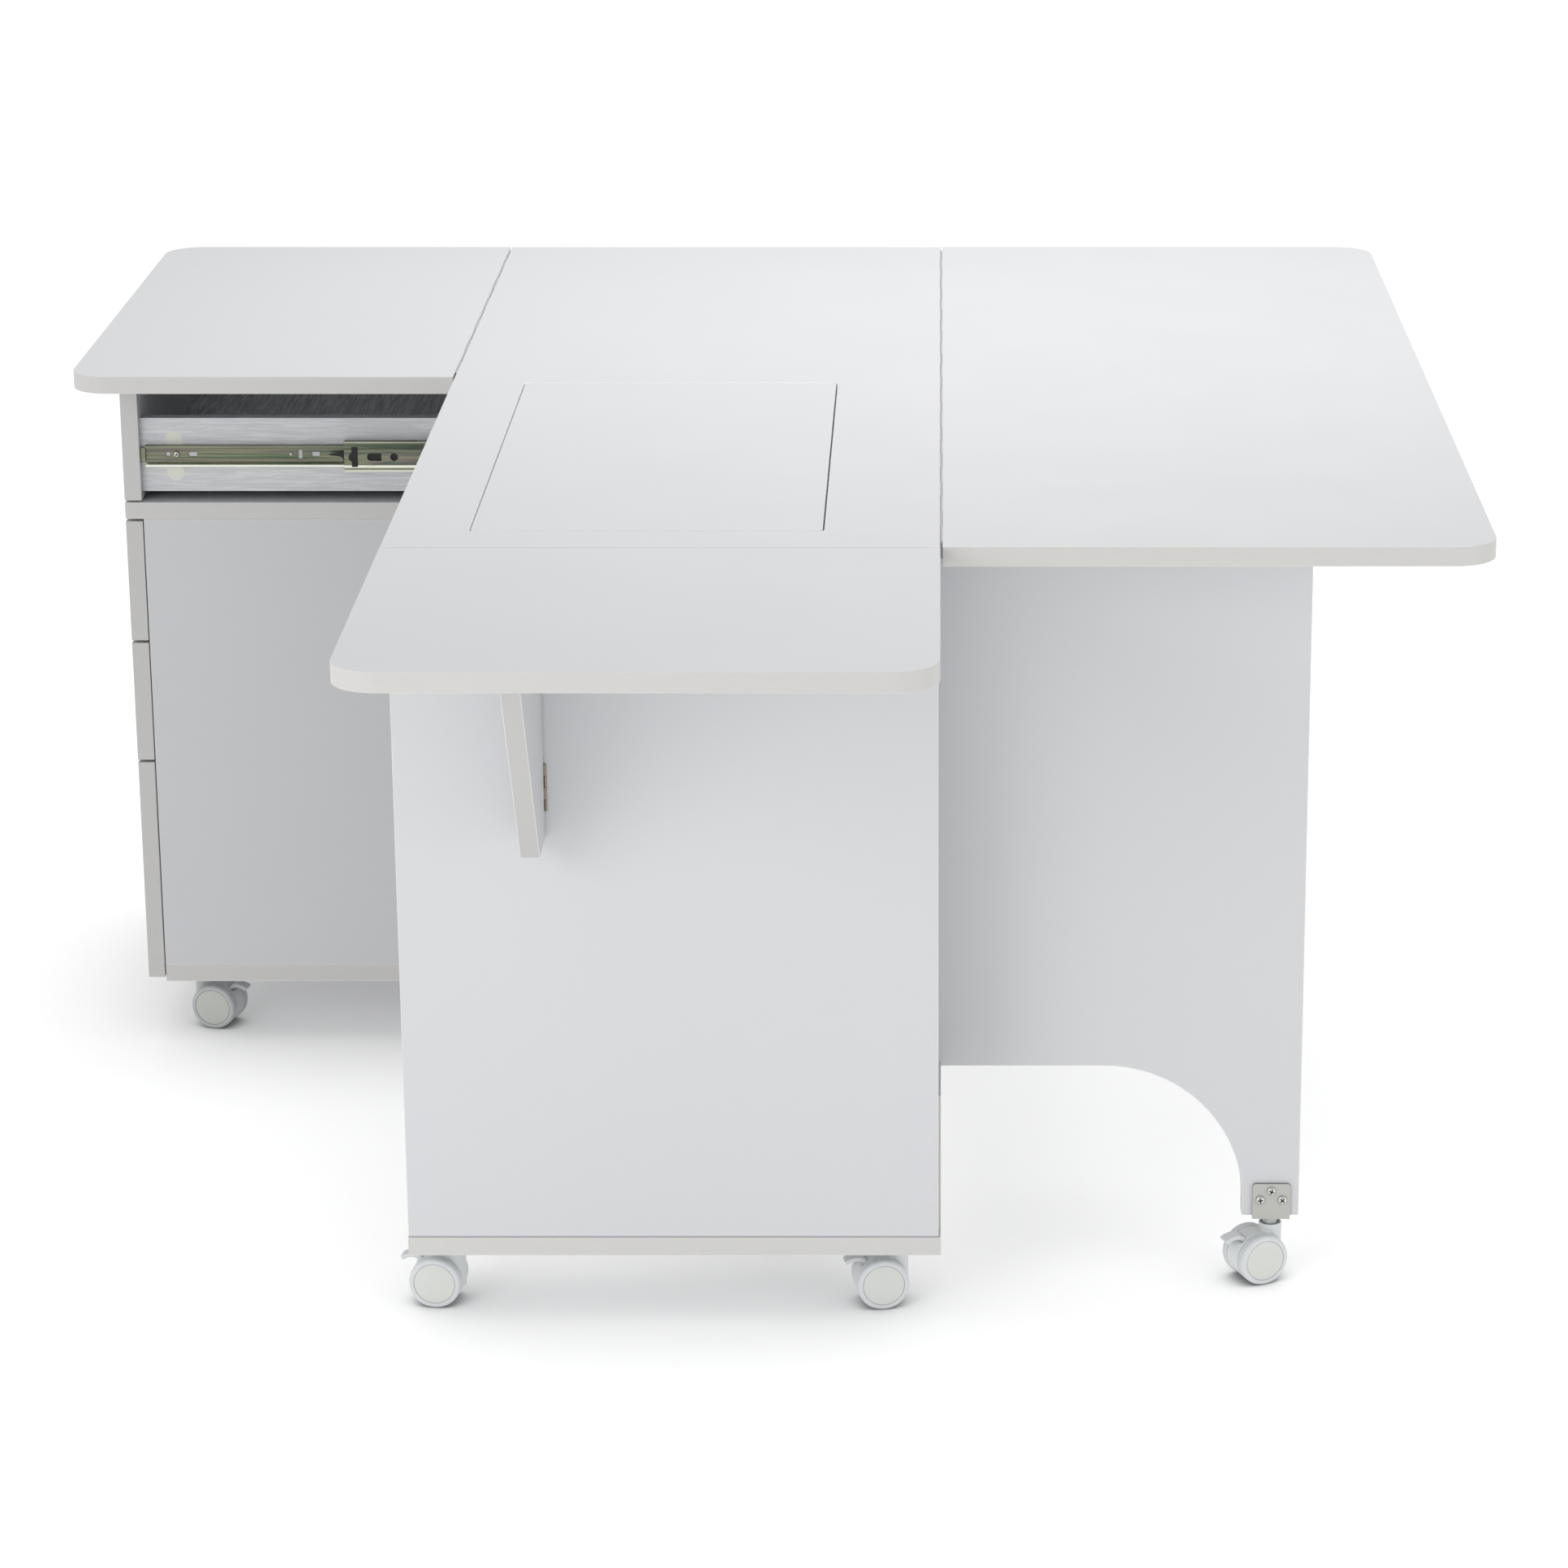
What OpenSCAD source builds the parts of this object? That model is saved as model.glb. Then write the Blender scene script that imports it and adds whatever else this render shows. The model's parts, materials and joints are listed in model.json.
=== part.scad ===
// Folding sewing table: three hinged leaves, machine lift, top drawer and a rolling drawer cart.
// All modules work in table coordinates: x to the right, y to the back, z up, with the origin on
// the floor below the front left corner of the centre top. place() moves them to the part origin.

/* [Table top] */
// Height of the top surface
table_h = 768; // [750:1:790]
// Width of the centre top
top_w = 500; // [490:1:520]
// Depth of the centre top
top_d = 1406; // [1400:1:1440]
// Thickness of every board
board_t = 18; // [17:0.5:19]
// Open seam between neighbouring leaves
seam = 2; // [1.8:0.1:2.2]
// Width of the right leaf
right_leaf_w = 498; // [480:1:500]
// Width of the left leaf
left_leaf_w = 397; // [390:1:420]
// Depth of the left leaf
left_leaf_d = 703; // [690:1:720]
// Depth of the front flap
flap_d = 405; // [390:1:430]
// Corner radius of the leaves
corner_r = 40; // [20:1:60]

/* [Machine lift] */
// Width of the machine opening
opening_w = 321; // [300:1:325]
// Depth of the machine opening
opening_d = 617; // [580:1:625]
// Gap around the lift platform
lift_gap = 1.5; // [1.5:0.1:3]
// Lift platform travel, used for the length of its guides
lift_travel = 270; // [200:5:280]

/* [Frame] */
// Underside of the foot boards above the floor
foot_z = 71; // [70:0.5:74]
// Setback of the near end panel from the front edge of the centre top
panel_setback = 37; // [36:1:40]
// Depth of each foot board
foot_d = 110; // [104:1:112]
// Width of the cart bay between the divider and the far end panel
bay_w = 485; // [480:1:485]

/* [Supports] */
// Reach of the flap brace from the near end panel
brace_reach = 262; // [240:1:280]
// Length of the brace's lower edge
brace_toe = 57; // [40:1:80]
// Reach of the gate leg from the back panel
gate_reach = 370; // [350:1:380]
// Foot width of the gate leg
gate_foot_w = 55; // [50:1:60]
// Radius of the gate leg's arch
arch_r = 135; // [120:1:140]

/* [Drawers and cart] */
// Distance that the top drawer and the cart stand out
pull_out = 364.5; // [340:0.5:366]
// Depth of the cart body
cart_d = 436; // [420:1:436]
// Drawer box wall thickness
box_t = 15; // [12:1:16]

/* [Casters] */
// Caster wheel diameter
wheel_dia = 50; // [48:1:51]
// Distance from the swivel axis to the wheel axle
trail = 16; // [14:1:18]
// Turn of the front left caster
turn_near_left = -6; // [-20:1:20]
// Turn of the front right caster
turn_near_right = 10; // [-20:1:20]
// Turn of the gate leg's caster
turn_gate = 25; // [-30:1:30]
// Turn of the cart's front casters
turn_cart = 165; // [140:1:200]

/* [Hidden] */
eps = 0.01;
$fn = 64;

// Colours
melamine = [0.88, 0.89, 0.91];
shade = [0.80, 0.81, 0.82];
banding = [0.85, 0.84, 0.81];
steel = [0.72, 0.72, 0.68];
passivated = [0.74, 0.74, 0.62];
bracket_grey = [0.66, 0.66, 0.62];
caster_white = [0.90, 0.91, 0.92];
hub_white = [0.85, 0.87, 0.84];

// Levels
top_z = table_h - board_t;
foot_top_z = foot_z + board_t;
rest_gap = 0.5;
support_z = top_z - rest_gap;
mid_x = (top_w + seam + right_leaf_w - left_leaf_w - seam) / 2;
mid_y = (top_d - flap_d - seam) / 2;

// Machine opening
opening_x = 74;
opening_y = 58;
opening_r = 6;
lift_x = opening_x + lift_gap;
lift_y = opening_y + lift_gap;
lift_w = opening_w - 2 * lift_gap;
lift_d = opening_d - 2 * lift_gap;

// Carcass planes
panel_w = top_w - 1.6;
panel_in_y = panel_setback + board_t;
back_face_x = top_w - 25;
back_in_x = back_face_x - board_t;
divider_y = 787;
bay_y = divider_y + board_t;
far_panel_y = bay_y + bay_w;
foot_over = 0.5;
return_h = 135;
inset_left = 36.5;
inset_right = 41.5;
stem_back = 59;
near_stem_y = panel_setback + stem_back;
far_stem_y = far_panel_y + stem_back;
frame_stems = [
    [inset_left, near_stem_y], [top_w - inset_right, near_stem_y],
    [inset_left, far_stem_y], [top_w - inset_right, far_stem_y]
];

// Butt hinges of the brace and the gate leg
hinge_len = 45;
hinge_leaf_w = 18;
hinge_leaf_t = 1.1;
hinge_r = 1.25;
hinge_slack = 0.2;
hinge_gap = 2 * (hinge_leaf_t + hinge_slack);
hinge_side = 1.6;
knuckles = 4;
knuckle_gap = 0.3;

// Continuous leaf hinges sunk in the seams: middle along the seam, length, knuckles
flap_hinge_r = 0.6;
flap_hinge_slack = 0.3;
flap_hinge_z = table_h - 0.28;
flap_leaf_w = 16;
hinge_end = 20;
right_hinge = [top_d / 2, top_d - 2 * hinge_end, 24];
left_hinge = [top_d - left_leaf_d / 2, left_leaf_d - 2 * hinge_end, 12];
flap_hinge = [top_w / 2, top_w - 2 * hinge_end, 8];

// Brace
brace_x = 120;
brace_bottom_z = 484;
brace_back_y = panel_setback - hinge_gap;
brace_axis = [brace_x + board_t + hinge_side, panel_setback - hinge_gap / 2];
brace_hinge_zs = [510, 655];

// Gate leg
gate_y = panel_setback + 113;
gate_end_x = back_face_x + hinge_gap;
gate_axis = [back_face_x + hinge_gap / 2, gate_y + board_t + hinge_side];
gate_foot_z = 65.6;
gate_right_x = back_face_x + gate_reach;
arch_x = gate_right_x - gate_foot_w - arch_r;
arch_z = 84;
gate_hinge_zs = [270, 470, 680];
gate_stem_x = gate_right_x - gate_foot_w / 2 + 1;
gate_stem_y = gate_y + board_t / 2;
plate_w = 36;
plate_t = 2.7;
plate_h = 36;
plate_r = 2.5;
flange_t = 3;
screw_head_r = 4.3;
screw_head_h = 2.6;
screw_cross = [4, 1, 1.3];
screw_spots = [[0, 28.6], [-10.6, 19.6], [10.6, 19.6]];

// Ball bearing drawer slides. Each section is its wall side, open side, half height and lip.
slide_len = 400;
slide_mid_len = 340;
slide_t = 12.7;
slide_z = 658.4;
slide_x = 23.5;
slide_mid_x = slide_x + 28.5;
sheet = 1.2;
outer_section = [0, 9.8, 22.8, 4.2];
mid_section = [2.8, 10.4, 16.7, 3.9];
inner_section = [slide_t - 0.1, 5.4, 11.5, 2.6];
mid_holes = [28.5, 53];
mid_hole_r = 4;
mid_slot_len = 11;
inner_holes = [23.2, 47.3];
inner_hole_r = 2.5;
inner_slot_len = 7;
tall_slot = [161, 4.6, 9.6];
far_slot = [175.4, 8.6];

// Top drawer
bay_clear = 2.5;
front_y = bay_y + bay_clear;
front_w = bay_w - 2 * bay_clear;
front_x = -pull_out;
front_in_x = front_x + board_t;
front_gap = 2;
drawer_low_z = 619;
drawer_h = 79.5;
drawer_len = 408;
drawer_floor_z = 628;
floor_t = 6;
drawer_y = bay_y + slide_t + 0.1;
drawer_w = bay_w - 2 * (slide_t + 0.1);

// Cart
cart_top_z = 591;
cart_x = front_in_x + 1;
cart_back_x = cart_x + cart_d - board_t;
cart_in_y = front_y + board_t;
cart_in_w = front_w - 2 * board_t;
cart_stem_inset = [32, 40, 68];
cart_stem_x = [cart_x + cart_stem_inset[0], cart_x + cart_d - cart_stem_inset[1]];
cart_stem_y = [front_y + cart_stem_inset[2], front_y + front_w - cart_stem_inset[2]];
runner_side = 12.5;
cart_box_y = cart_in_y + runner_side;
cart_box_w = cart_in_w - 2 * runner_side;
cart_box_len = 396;
runner_len = 400;
runner_h = 32;
runner_lip = 20.5;
runner_slack = 0.5;
// Each cart drawer: front bottom, front height, box bottom, box height
cart_drawers = [
    [457.2, 131.3, 470, 90],
    [323.8, 130.8, 336, 90],
    [75.8, 245.4, 100, 180]
];

// Lift mechanism
guide_ys = [190, 545];
guide_low_z = top_z - 170 - lift_travel - 15;
guide_len = top_z - 8 - guide_low_z;
upright_h = 170;
arm_z = 735;
arm_h = top_z - arm_z;
arm_w = 30;
arm_x = 110;
upright_t = 6;
rod_r = 4;
rod_tab = 14;
tube_tab = 12;
arm_slack = 0.3;
tube_r = 9;
tube_bore_r = 4.4;
rod_x = 425;
rod_shift = 55;
tube_len = 300;
tube_top_z = arm_z - lift_travel - 10;
tube_floor = 8;
rod_dip = 12;

// Caster parts
wheel_r = wheel_dia / 2;
wheel_in_y = 11.6;
wheel_t = 10;
hub_r = 20;
hub_sink = 0.6;
tread_round = 3;
tread_edge = 0.9;
axle_r = 3;
axle_clear = 0.1;
hood_r = wheel_r - 0.4;
hood_t = 10.9;
hood_open_z = 7;
neck_r = 10.5;
neck_low_z = 19;
neck_top_z = 60;
neck_bowl_r = 9;
neck_bowl_z = 54.5;
stem_r = 4;
stem_low_z = 24;
cup_r = 13;
cup_z = 61.5;
caster_plate_w = 42;
caster_plate_t = 2.5;
lever_r = 3;
lever_half_w = 7;
lever_slot = 7.5;
lever_pocket = [22, 5.5, 27];
lever_turn = 128;
lever_from_axle = 19;
lever_at = [
    -trail + lever_from_axle * cos(lever_turn),
    wheel_r + lever_from_axle * sin(lever_turn)
];
nut_af = 13;
nut_h = 6.2;
gate_stem = [gate_stem_x, gate_stem_y];
cart_fn = [cart_stem_x[0], cart_stem_y[0]];
cart_ff = [cart_stem_x[0], cart_stem_y[1]];
cart_rn = [cart_stem_x[1], cart_stem_y[0]];
cart_rf = [cart_stem_x[1], cart_stem_y[1]];
turn_far_left = -5;
turn_far_right = 12;
turn_cart_rear_near = 168;
turn_cart_rear_far = 160;

module place() {
    translate([-mid_x, -mid_y, 0]) children();
}

// A board between two corners
module board(low, high) {
    translate(low) cube(high - low);
}

// A flat rectangle with the listed corners rounded: [x side, y side] of each
module leaf_outline(w, d, r, corners) {
    difference() {
        square([w, d]);
        for (c = corners)
            translate([c[0] * w, c[1] * d])
                square(2 * r, center = true);
    }
    for (c = corners)
        translate([c[0] * (w - 2 * r) + r, c[1] * (d - 2 * r) + r])
            circle(r);
}

// A rectangle with four small round corners
module soft_square(w, d, r) {
    leaf_outline(w, d, r, [[0, 0], [0, 1], [1, 0], [1, 1]]);
}

// Hinge barrel pieces along z: first is 0 for the fixed leaf and 1 for the moving one
module knuckle_row(r, len, count, first) {
    pitch = len / count;
    for (i = [first : 2 : count - 1])
        translate([0, 0, i * pitch + knuckle_gap / 2])
            cylinder(h = pitch - knuckle_gap, r = r);
}

// One hinge half. The barrel is on the z axis, the leaf runs to -x, and side is 1 or -1 along y.
module hinge_half(r, len, count, leaf_w, leaf_t, slack, first, side) {
    pitch = len / count;
    low_y = side > 0 ? slack : -slack - leaf_t;
    knuckle_row(r, len, count, first);
    for (i = [first : 2 : count - 1])
        translate([-r - 1, low_y, i * pitch + knuckle_gap / 2])
            cube([r + 1, leaf_t, pitch - knuckle_gap]);
    translate([-leaf_w, low_y, 0])
        cube([leaf_w - r - 0.5, leaf_t, len]);
}

module butt_half(first, side) {
    hinge_half(hinge_r, hinge_len, knuckles, hinge_leaf_w, hinge_leaf_t, hinge_slack,
               first, side);
}

module seam_half(hinge, first, side) {
    hinge_half(flap_hinge_r, hinge[1], hinge[2], flap_leaf_w,
               seam / 2 - flap_hinge_slack, flap_hinge_slack, first, side);
}

// The hinge half of each seam, with the fixed side towards the centre top
module right_seam(first, side) {
    translate([top_w + seam / 2, right_hinge[0] + right_hinge[1] / 2, flap_hinge_z])
        rotate([90, -90, 0]) seam_half(right_hinge, first, side);
}

module left_seam(first, side) {
    translate([-seam / 2, left_hinge[0] - left_hinge[1] / 2, flap_hinge_z])
        rotate([90, -90, 180]) seam_half(left_hinge, first, side);
}

module flap_seam(first, side) {
    translate([flap_hinge[0] + flap_hinge[1] / 2, -seam / 2, flap_hinge_z])
        rotate([90, -90, -90]) seam_half(flap_hinge, first, side);
}

module at_brace_hinges() {
    for (z = brace_hinge_zs)
        translate([brace_axis[0], brace_axis[1], z]) children();
}

module at_gate_hinges() {
    for (z = gate_hinge_zs)
        translate([gate_axis[0], gate_axis[1], z]) rotate([0, 0, 90]) children();
}

// Slide members run along +x from 0. The cabinet wall is at y = 0, and z = 0 is mid height.
module channel(len, points) {
    rotate([90, 0, 90]) linear_extrude(len) polygon(points);
}

// Channel outline from a section row, open towards its second side
function c_section(row) =
    let (y0 = row[0], y1 = row[1], half_h = row[2], lip = row[3], d = sign(y1 - y0) * sheet) [
        [y0, -half_h], [y1, -half_h], [y1, -half_h + lip], [y1 - d, -half_h + lip],
        [y1 - d, -half_h + sheet], [y0 + d, -half_h + sheet],
        [y0 + d, half_h - sheet], [y1 - d, half_h - sheet],
        [y1 - d, half_h - lip], [y1, half_h - lip], [y1, half_h], [y0, half_h]
    ];

// Cutter for a punched slot in a slide's web, at mid height z
module web_slot(x, z, len, h, wall_y) {
    translate([x, wall_y - 2 * sheet, z - h / 2]) cube([len, 4 * sheet, h]);
}

module web_holes(xs, z, r, wall_y) {
    for (x = xs)
        translate([x, wall_y - 2 * sheet, z])
            rotate([-90, 0, 0]) cylinder(h = 4 * sheet, r = r, $fn = 32);
}

module slide_outer(len) {
    channel(len, c_section(outer_section));
}

module slide_mid(len) {
    difference() {
        channel(len, c_section(mid_section));
        web_holes(mid_holes, 0, mid_hole_r, mid_section[0]);
        web_slot(mid_holes[0], 0, mid_slot_len, 2 * mid_hole_r, mid_section[0]);
    }
}

module slide_inner(len) {
    difference() {
        channel(len, c_section(inner_section));
        web_holes(inner_holes, 1, inner_hole_r, inner_section[0]);
        web_slot(inner_holes[1], 1, inner_slot_len, 2 * inner_hole_r, inner_section[0]);
        web_slot(tall_slot[0], 1, tall_slot[1], tall_slot[2], inner_section[0]);
        web_slot(far_slot[0], 1, far_slot[1], 2 * inner_hole_r, inner_section[0]);
    }
}

module both_slides(x) {
    translate([x, bay_y, slide_z]) children();
    translate([x, far_panel_y, slide_z]) mirror([0, 1, 0]) children();
}

// Drawer box of two sides, a back and a floor, open to its front board
module drawer_body(x, y, z, len, w, h, floor_z) {
    board([x, y, z], [x + len, y + box_t, z + h]);
    board([x, y + w - box_t, z], [x + len, y + w, z + h]);
    board([x + len - box_t, y + box_t, z], [x + len, y + w - box_t, z + h]);
    board([x, y + box_t, floor_z], [x + len - box_t, y + w - box_t, floor_z + floor_t]);
}

// Places a caster: its swivel axis on z, its wheels trailing to -x
module caster_at(spot, turn) {
    translate([spot[0], spot[1], 0]) rotate([0, 0, turn]) children();
}

module across(h, r, n = $fn) {
    rotate([90, 0, 0]) cylinder(h = h, r = r, center = true, $fn = n);
}

module caster_housing() {
    difference() {
        union() {
            intersection() {
                translate([-trail, 0, wheel_r]) across(2 * hood_t, hood_r);
                translate([-trail - wheel_r, -hood_t, hood_open_z])
                    cube([2 * wheel_r, 2 * hood_t, 2 * wheel_r]);
            }
            translate([0, 0, neck_low_z]) cylinder(h = neck_top_z - neck_low_z, r = neck_r);
        }
        translate([-trail, 0, wheel_r]) across(4 * hood_t, axle_r + axle_clear, 48);
        translate([0, 0, stem_low_z - 1])
            cylinder(h = neck_top_z, r = stem_r + axle_clear, $fn = 48);
        translate([0, 0, neck_bowl_z]) cylinder(h = neck_top_z, r = neck_bowl_r);
        translate([lever_at[0] - lever_pocket[0], -lever_slot, lever_at[1] - lever_pocket[1]])
            cube([lever_pocket[2], 2 * lever_slot, hood_r]);
    }
}

// Both wheels of a caster, each with a sunk hub disc, and their axle
module caster_wheels() {
    translate([-trail, 0, wheel_r]) {
        for (s = [-1, 1])
            translate([0, s * (wheel_in_y + wheel_t / 2), 0])
                rotate([s * 90, 0, 0])
                    rotate_extrude()
                        polygon([
                            [0, hub_sink - wheel_t / 2], [hub_r, hub_sink - wheel_t / 2],
                            [hub_r + hub_sink, -wheel_t / 2], [wheel_r - tread_round, -wheel_t / 2],
                            [wheel_r - tread_edge, tread_edge - wheel_t / 2],
                            [wheel_r, tread_round - wheel_t / 2],
                            [wheel_r, wheel_t / 2 - hub_sink], [wheel_r - hub_sink, wheel_t / 2],
                            [0, wheel_t / 2]
                        ]);
        across(2 * wheel_in_y + 2, axle_r, 48);
    }
}

// Foot lever that locks a caster's wheels
module caster_brake() {
    translate([lever_at[0], 0, lever_at[1]]) {
        across(2 * lever_half_w, lever_r, 48);
        rotate([90, 0, 0])
            linear_extrude(2 * lever_half_w, center = true)
                polygon([
                    [0, 2.6], [-6, 5.6], [-12, 7], [-17, 6.2], [-20, 3.4],
                    [-18.4, 2.4], [-15, 4], [-11, 3.6], [-6, 1.4], [0, -2.6]
                ]);
    }
}

// Swivel plate with its bearing cup and king pin
module caster_plate(spot) {
    translate([spot[0], spot[1], 0]) {
        translate([-caster_plate_w / 2, -caster_plate_w / 2, foot_z - caster_plate_t])
            cube([caster_plate_w, caster_plate_w, caster_plate_t]);
        translate([0, 0, cup_z]) cylinder(h = foot_z - caster_plate_t - cup_z + eps, r = cup_r);
        translate([0, 0, stem_low_z]) cylinder(h = cup_z - stem_low_z + eps, r = stem_r, $fn = 48);
    }
}

module housing_at(spot, turn) {
    place() color(caster_white) caster_at(spot, turn) caster_housing();
}

module wheels_at(spot, turn) {
    place() color(hub_white) caster_at(spot, turn) caster_wheels();
}

module brake_at(spot, turn) {
    place() color(caster_white) caster_at(spot, turn) caster_brake();
}

module center_top() {
    place() color(melamine)
        translate([0, 0, top_z])
            linear_extrude(board_t)
                difference() {
                    square([top_w, top_d]);
                    translate([opening_x, opening_y])
                        soft_square(opening_w, opening_d, opening_r);
                }
}

module near_end_panel() {
    place() color(melamine)
        board([0, panel_setback, foot_top_z], [panel_w, panel_in_y, top_z]);
}

module far_end_panel() {
    place() color(melamine)
        board([0, far_panel_y, foot_top_z], [panel_w, far_panel_y + board_t, top_z]);
}

module divider_panel() {
    place() color(melamine)
        board([0, divider_y, foot_top_z], [back_in_x, bay_y, top_z]);
}

module back_panel() {
    place() color(shade)
        board([back_in_x, panel_in_y, foot_top_z], [back_face_x, far_panel_y, top_z]);
}

// Foot board of the near end and the upright return behind its right corner
module near_foot() {
    place() color(banding) {
        board([-foot_over, panel_setback, foot_z],
              [top_w + foot_over, panel_setback + foot_d, foot_top_z]);
        board([top_w + foot_over - board_t, panel_in_y, foot_top_z],
              [top_w + foot_over, panel_setback + foot_d, foot_top_z + return_h]);
    }
}

module far_foot() {
    place() color(banding)
        board([-foot_over, far_panel_y, foot_z],
              [top_w + foot_over, far_panel_y + foot_d, foot_top_z]);
}

module frame_caster_plates() {
    place() color(steel)
        for (s = frame_stems) caster_plate(s);
}

// Vertical guide channels on the back panel, and the gas spring tubes with their brackets
module lift_guides() {
    place() color(passivated)
        for (i = [0, 1]) {
            y = guide_ys[i];
            rod_y = y + (2 * i - 1) * rod_shift;
            translate([back_in_x, y, guide_low_z])
                rotate([0, -90, 90]) slide_outer(guide_len);
            translate([rod_x, rod_y, tube_top_z - tube_len])
                difference() {
                    cylinder(h = tube_len, r = tube_r);
                    translate([0, 0, tube_floor]) cylinder(h = tube_len, r = tube_bore_r);
                }
            board([rod_x, rod_y - tube_tab / 2, tube_top_z - tube_len - upright_t],
                  [back_in_x, rod_y + tube_tab / 2, tube_top_z - tube_len]);
        }
}

module drawer_outer_rails() {
    place() color(passivated) both_slides(slide_x) slide_outer(slide_len);
}

// The halves that stay on the frame: leaf seams, brace and gate leg
module fixed_hinge_leaves() {
    place() color(steel) {
        right_seam(0, 1);
        left_seam(0, 1);
        flap_seam(0, 1);
        at_brace_hinges() butt_half(0, 1);
        at_gate_hinges() butt_half(0, 1);
    }
}

module lift_platform() {
    place() color(melamine)
        translate([lift_x, lift_y, top_z])
            linear_extrude(board_t) soft_square(lift_w, lift_d, opening_r - lift_gap);
}

// Two cantilever arms, their uprights and slide members, a cross tie and the gas spring rods
module lift_carriage() {
    place() color(steel) {
        for (i = [0, 1]) {
            y = guide_ys[i];
            rod_y = y + (2 * i - 1) * rod_shift;
            upright_x = back_in_x - slide_t + 0.1 - upright_t;
            board([arm_x, y - arm_w / 2, arm_z],
                  [upright_x + upright_t, y + arm_w / 2, top_z - arm_slack]);
            board([upright_x, y - arm_w / 2, arm_z - upright_h],
                  [upright_x + upright_t, y + arm_w / 2, arm_z]);
            translate([back_in_x, y, arm_z - upright_h])
                rotate([0, -90, 90]) channel(upright_h, c_section(inner_section));
            board([rod_x - rod_tab / 2, min(y, rod_y - rod_tab / 2), arm_z],
                  [rod_x + rod_tab / 2, max(y, rod_y + rod_tab / 2), arm_z + upright_t]);
            translate([rod_x, rod_y, tube_top_z - rod_dip])
                cylinder(h = arm_z + 1 - tube_top_z + rod_dip, r = rod_r);
        }
        board([arm_x, guide_ys[0], arm_z], [arm_x + arm_w, guide_ys[1], top_z - arm_slack]);
    }
}

module right_leaf() {
    place() color(melamine)
        translate([top_w + seam, 0, top_z])
            linear_extrude(board_t)
                leaf_outline(right_leaf_w, top_d, corner_r, [[1, 0], [1, 1]]);
}

module right_leaf_hinges() {
    place() color(steel) right_seam(1, -1);
}

module left_leaf() {
    place() color(melamine)
        translate([-seam - left_leaf_w, top_d - left_leaf_d, top_z])
            linear_extrude(board_t)
                leaf_outline(left_leaf_w, left_leaf_d, corner_r, [[0, 0], [0, 1]]);
}

module left_leaf_hinges() {
    place() color(steel) left_seam(1, -1);
}

module front_flap() {
    place() color(melamine)
        translate([0, -seam - flap_d, top_z])
            linear_extrude(board_t)
                leaf_outline(top_w, flap_d, corner_r, [[0, 0], [1, 0]]);
}

module front_flap_hinges() {
    place() color(steel) flap_seam(1, -1);
}

// Upright board that swings out under the front flap
module flap_brace() {
    place() color(shade)
        translate([brace_x, brace_back_y, 0])
            rotate([90, 0, 90])
                linear_extrude(board_t)
                    polygon([
                        [0, brace_bottom_z], [0, support_z], [-brace_reach, support_z],
                        [-brace_toe, brace_bottom_z]
                    ]);
}

module brace_hinges() {
    place() color(steel) at_brace_hinges() butt_half(1, -1);
}

// Swinging board under the right leaf, arched between its hinge edge and its foot
module gate_leg() {
    place() color(melamine)
        translate([0, gate_y + board_t, 0])
            rotate([90, 0, 0])
                linear_extrude(board_t)
                    difference() {
                        translate([gate_end_x, gate_foot_z])
                            square([gate_right_x - gate_end_x, support_z - gate_foot_z]);
                        translate([gate_end_x - 1, 0])
                            square([arch_x - gate_end_x + 1, arch_z + arch_r]);
                        translate([arch_x - 1, 0])
                            square([arch_r + 1, arch_z]);
                        translate([arch_x, arch_z])
                            circle(arch_r, $fn = 128);
                    }
}

module gate_hinges() {
    place() color(steel) at_gate_hinges() butt_half(1, -1);
}

// Angle plate on the gate leg's foot, with the caster's lock nut and stem
module gate_bracket() {
    place() color(bracket_grey)
        translate([gate_stem_x, 0, gate_foot_z - flange_t]) {
            translate([0, gate_y, 0])
                rotate([90, 0, 0])
                    linear_extrude(plate_t)
                        translate([-plate_w / 2, 0])
                            leaf_outline(plate_w, plate_h, plate_r, [[0, 1], [1, 1]]);
            translate([-plate_w / 2, gate_y - plate_t, 0])
                cube([plate_w, plate_t + board_t, flange_t]);
            translate([0, gate_stem_y, -nut_h])
                cylinder(h = nut_h + eps, d = nut_af / cos(30), $fn = 6);
            translate([0, gate_stem_y, stem_low_z - gate_foot_z + flange_t])
                cylinder(h = gate_foot_z - flange_t - stem_low_z, r = stem_r, $fn = 48);
        }
}

module gate_screws() {
    place() color(steel)
        for (s = screw_spots)
            translate([gate_stem_x + s[0], gate_y - plate_t, gate_foot_z - flange_t + s[1]])
                rotate([90, 0, 0])
                    difference() {
                        rotate_extrude()
                            polygon([
                                [0, 0], [screw_head_r, 0],
                                [screw_head_r, screw_head_h * 0.3],
                                [screw_head_r * 0.8, screw_head_h * 0.77],
                                [screw_head_r * 0.4, screw_head_h * 0.96],
                                [0, screw_head_h]
                            ]);
                        for (a = [45, 135])
                            rotate([0, 0, a])
                                translate([-screw_cross[0] / 2, -screw_cross[1] / 2, screw_cross[2]])
                                    cube([screw_cross[0], screw_cross[1], screw_head_h]);
                    }
}

module drawer_front() {
    place() color(banding)
        board([front_x, front_y, cart_top_z + board_t + front_gap],
              [front_in_x, front_y + front_w, support_z]);
}

module drawer_box() {
    place() color(shade)
        drawer_body(front_in_x, drawer_y, drawer_low_z, drawer_len, drawer_w, drawer_h,
                    drawer_floor_z);
}

module drawer_inner_rails() {
    place() color(passivated) both_slides(slide_x - pull_out) slide_inner(slide_len);
}

module drawer_mid_rails() {
    place() color(passivated) both_slides(slide_mid_x - pull_out / 2) slide_mid(slide_mid_len);
}

module cart_top() {
    place() color(banding)
        board([front_x, front_y, cart_top_z],
              [cart_x + cart_d, front_y + front_w, cart_top_z + board_t]);
}

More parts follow.
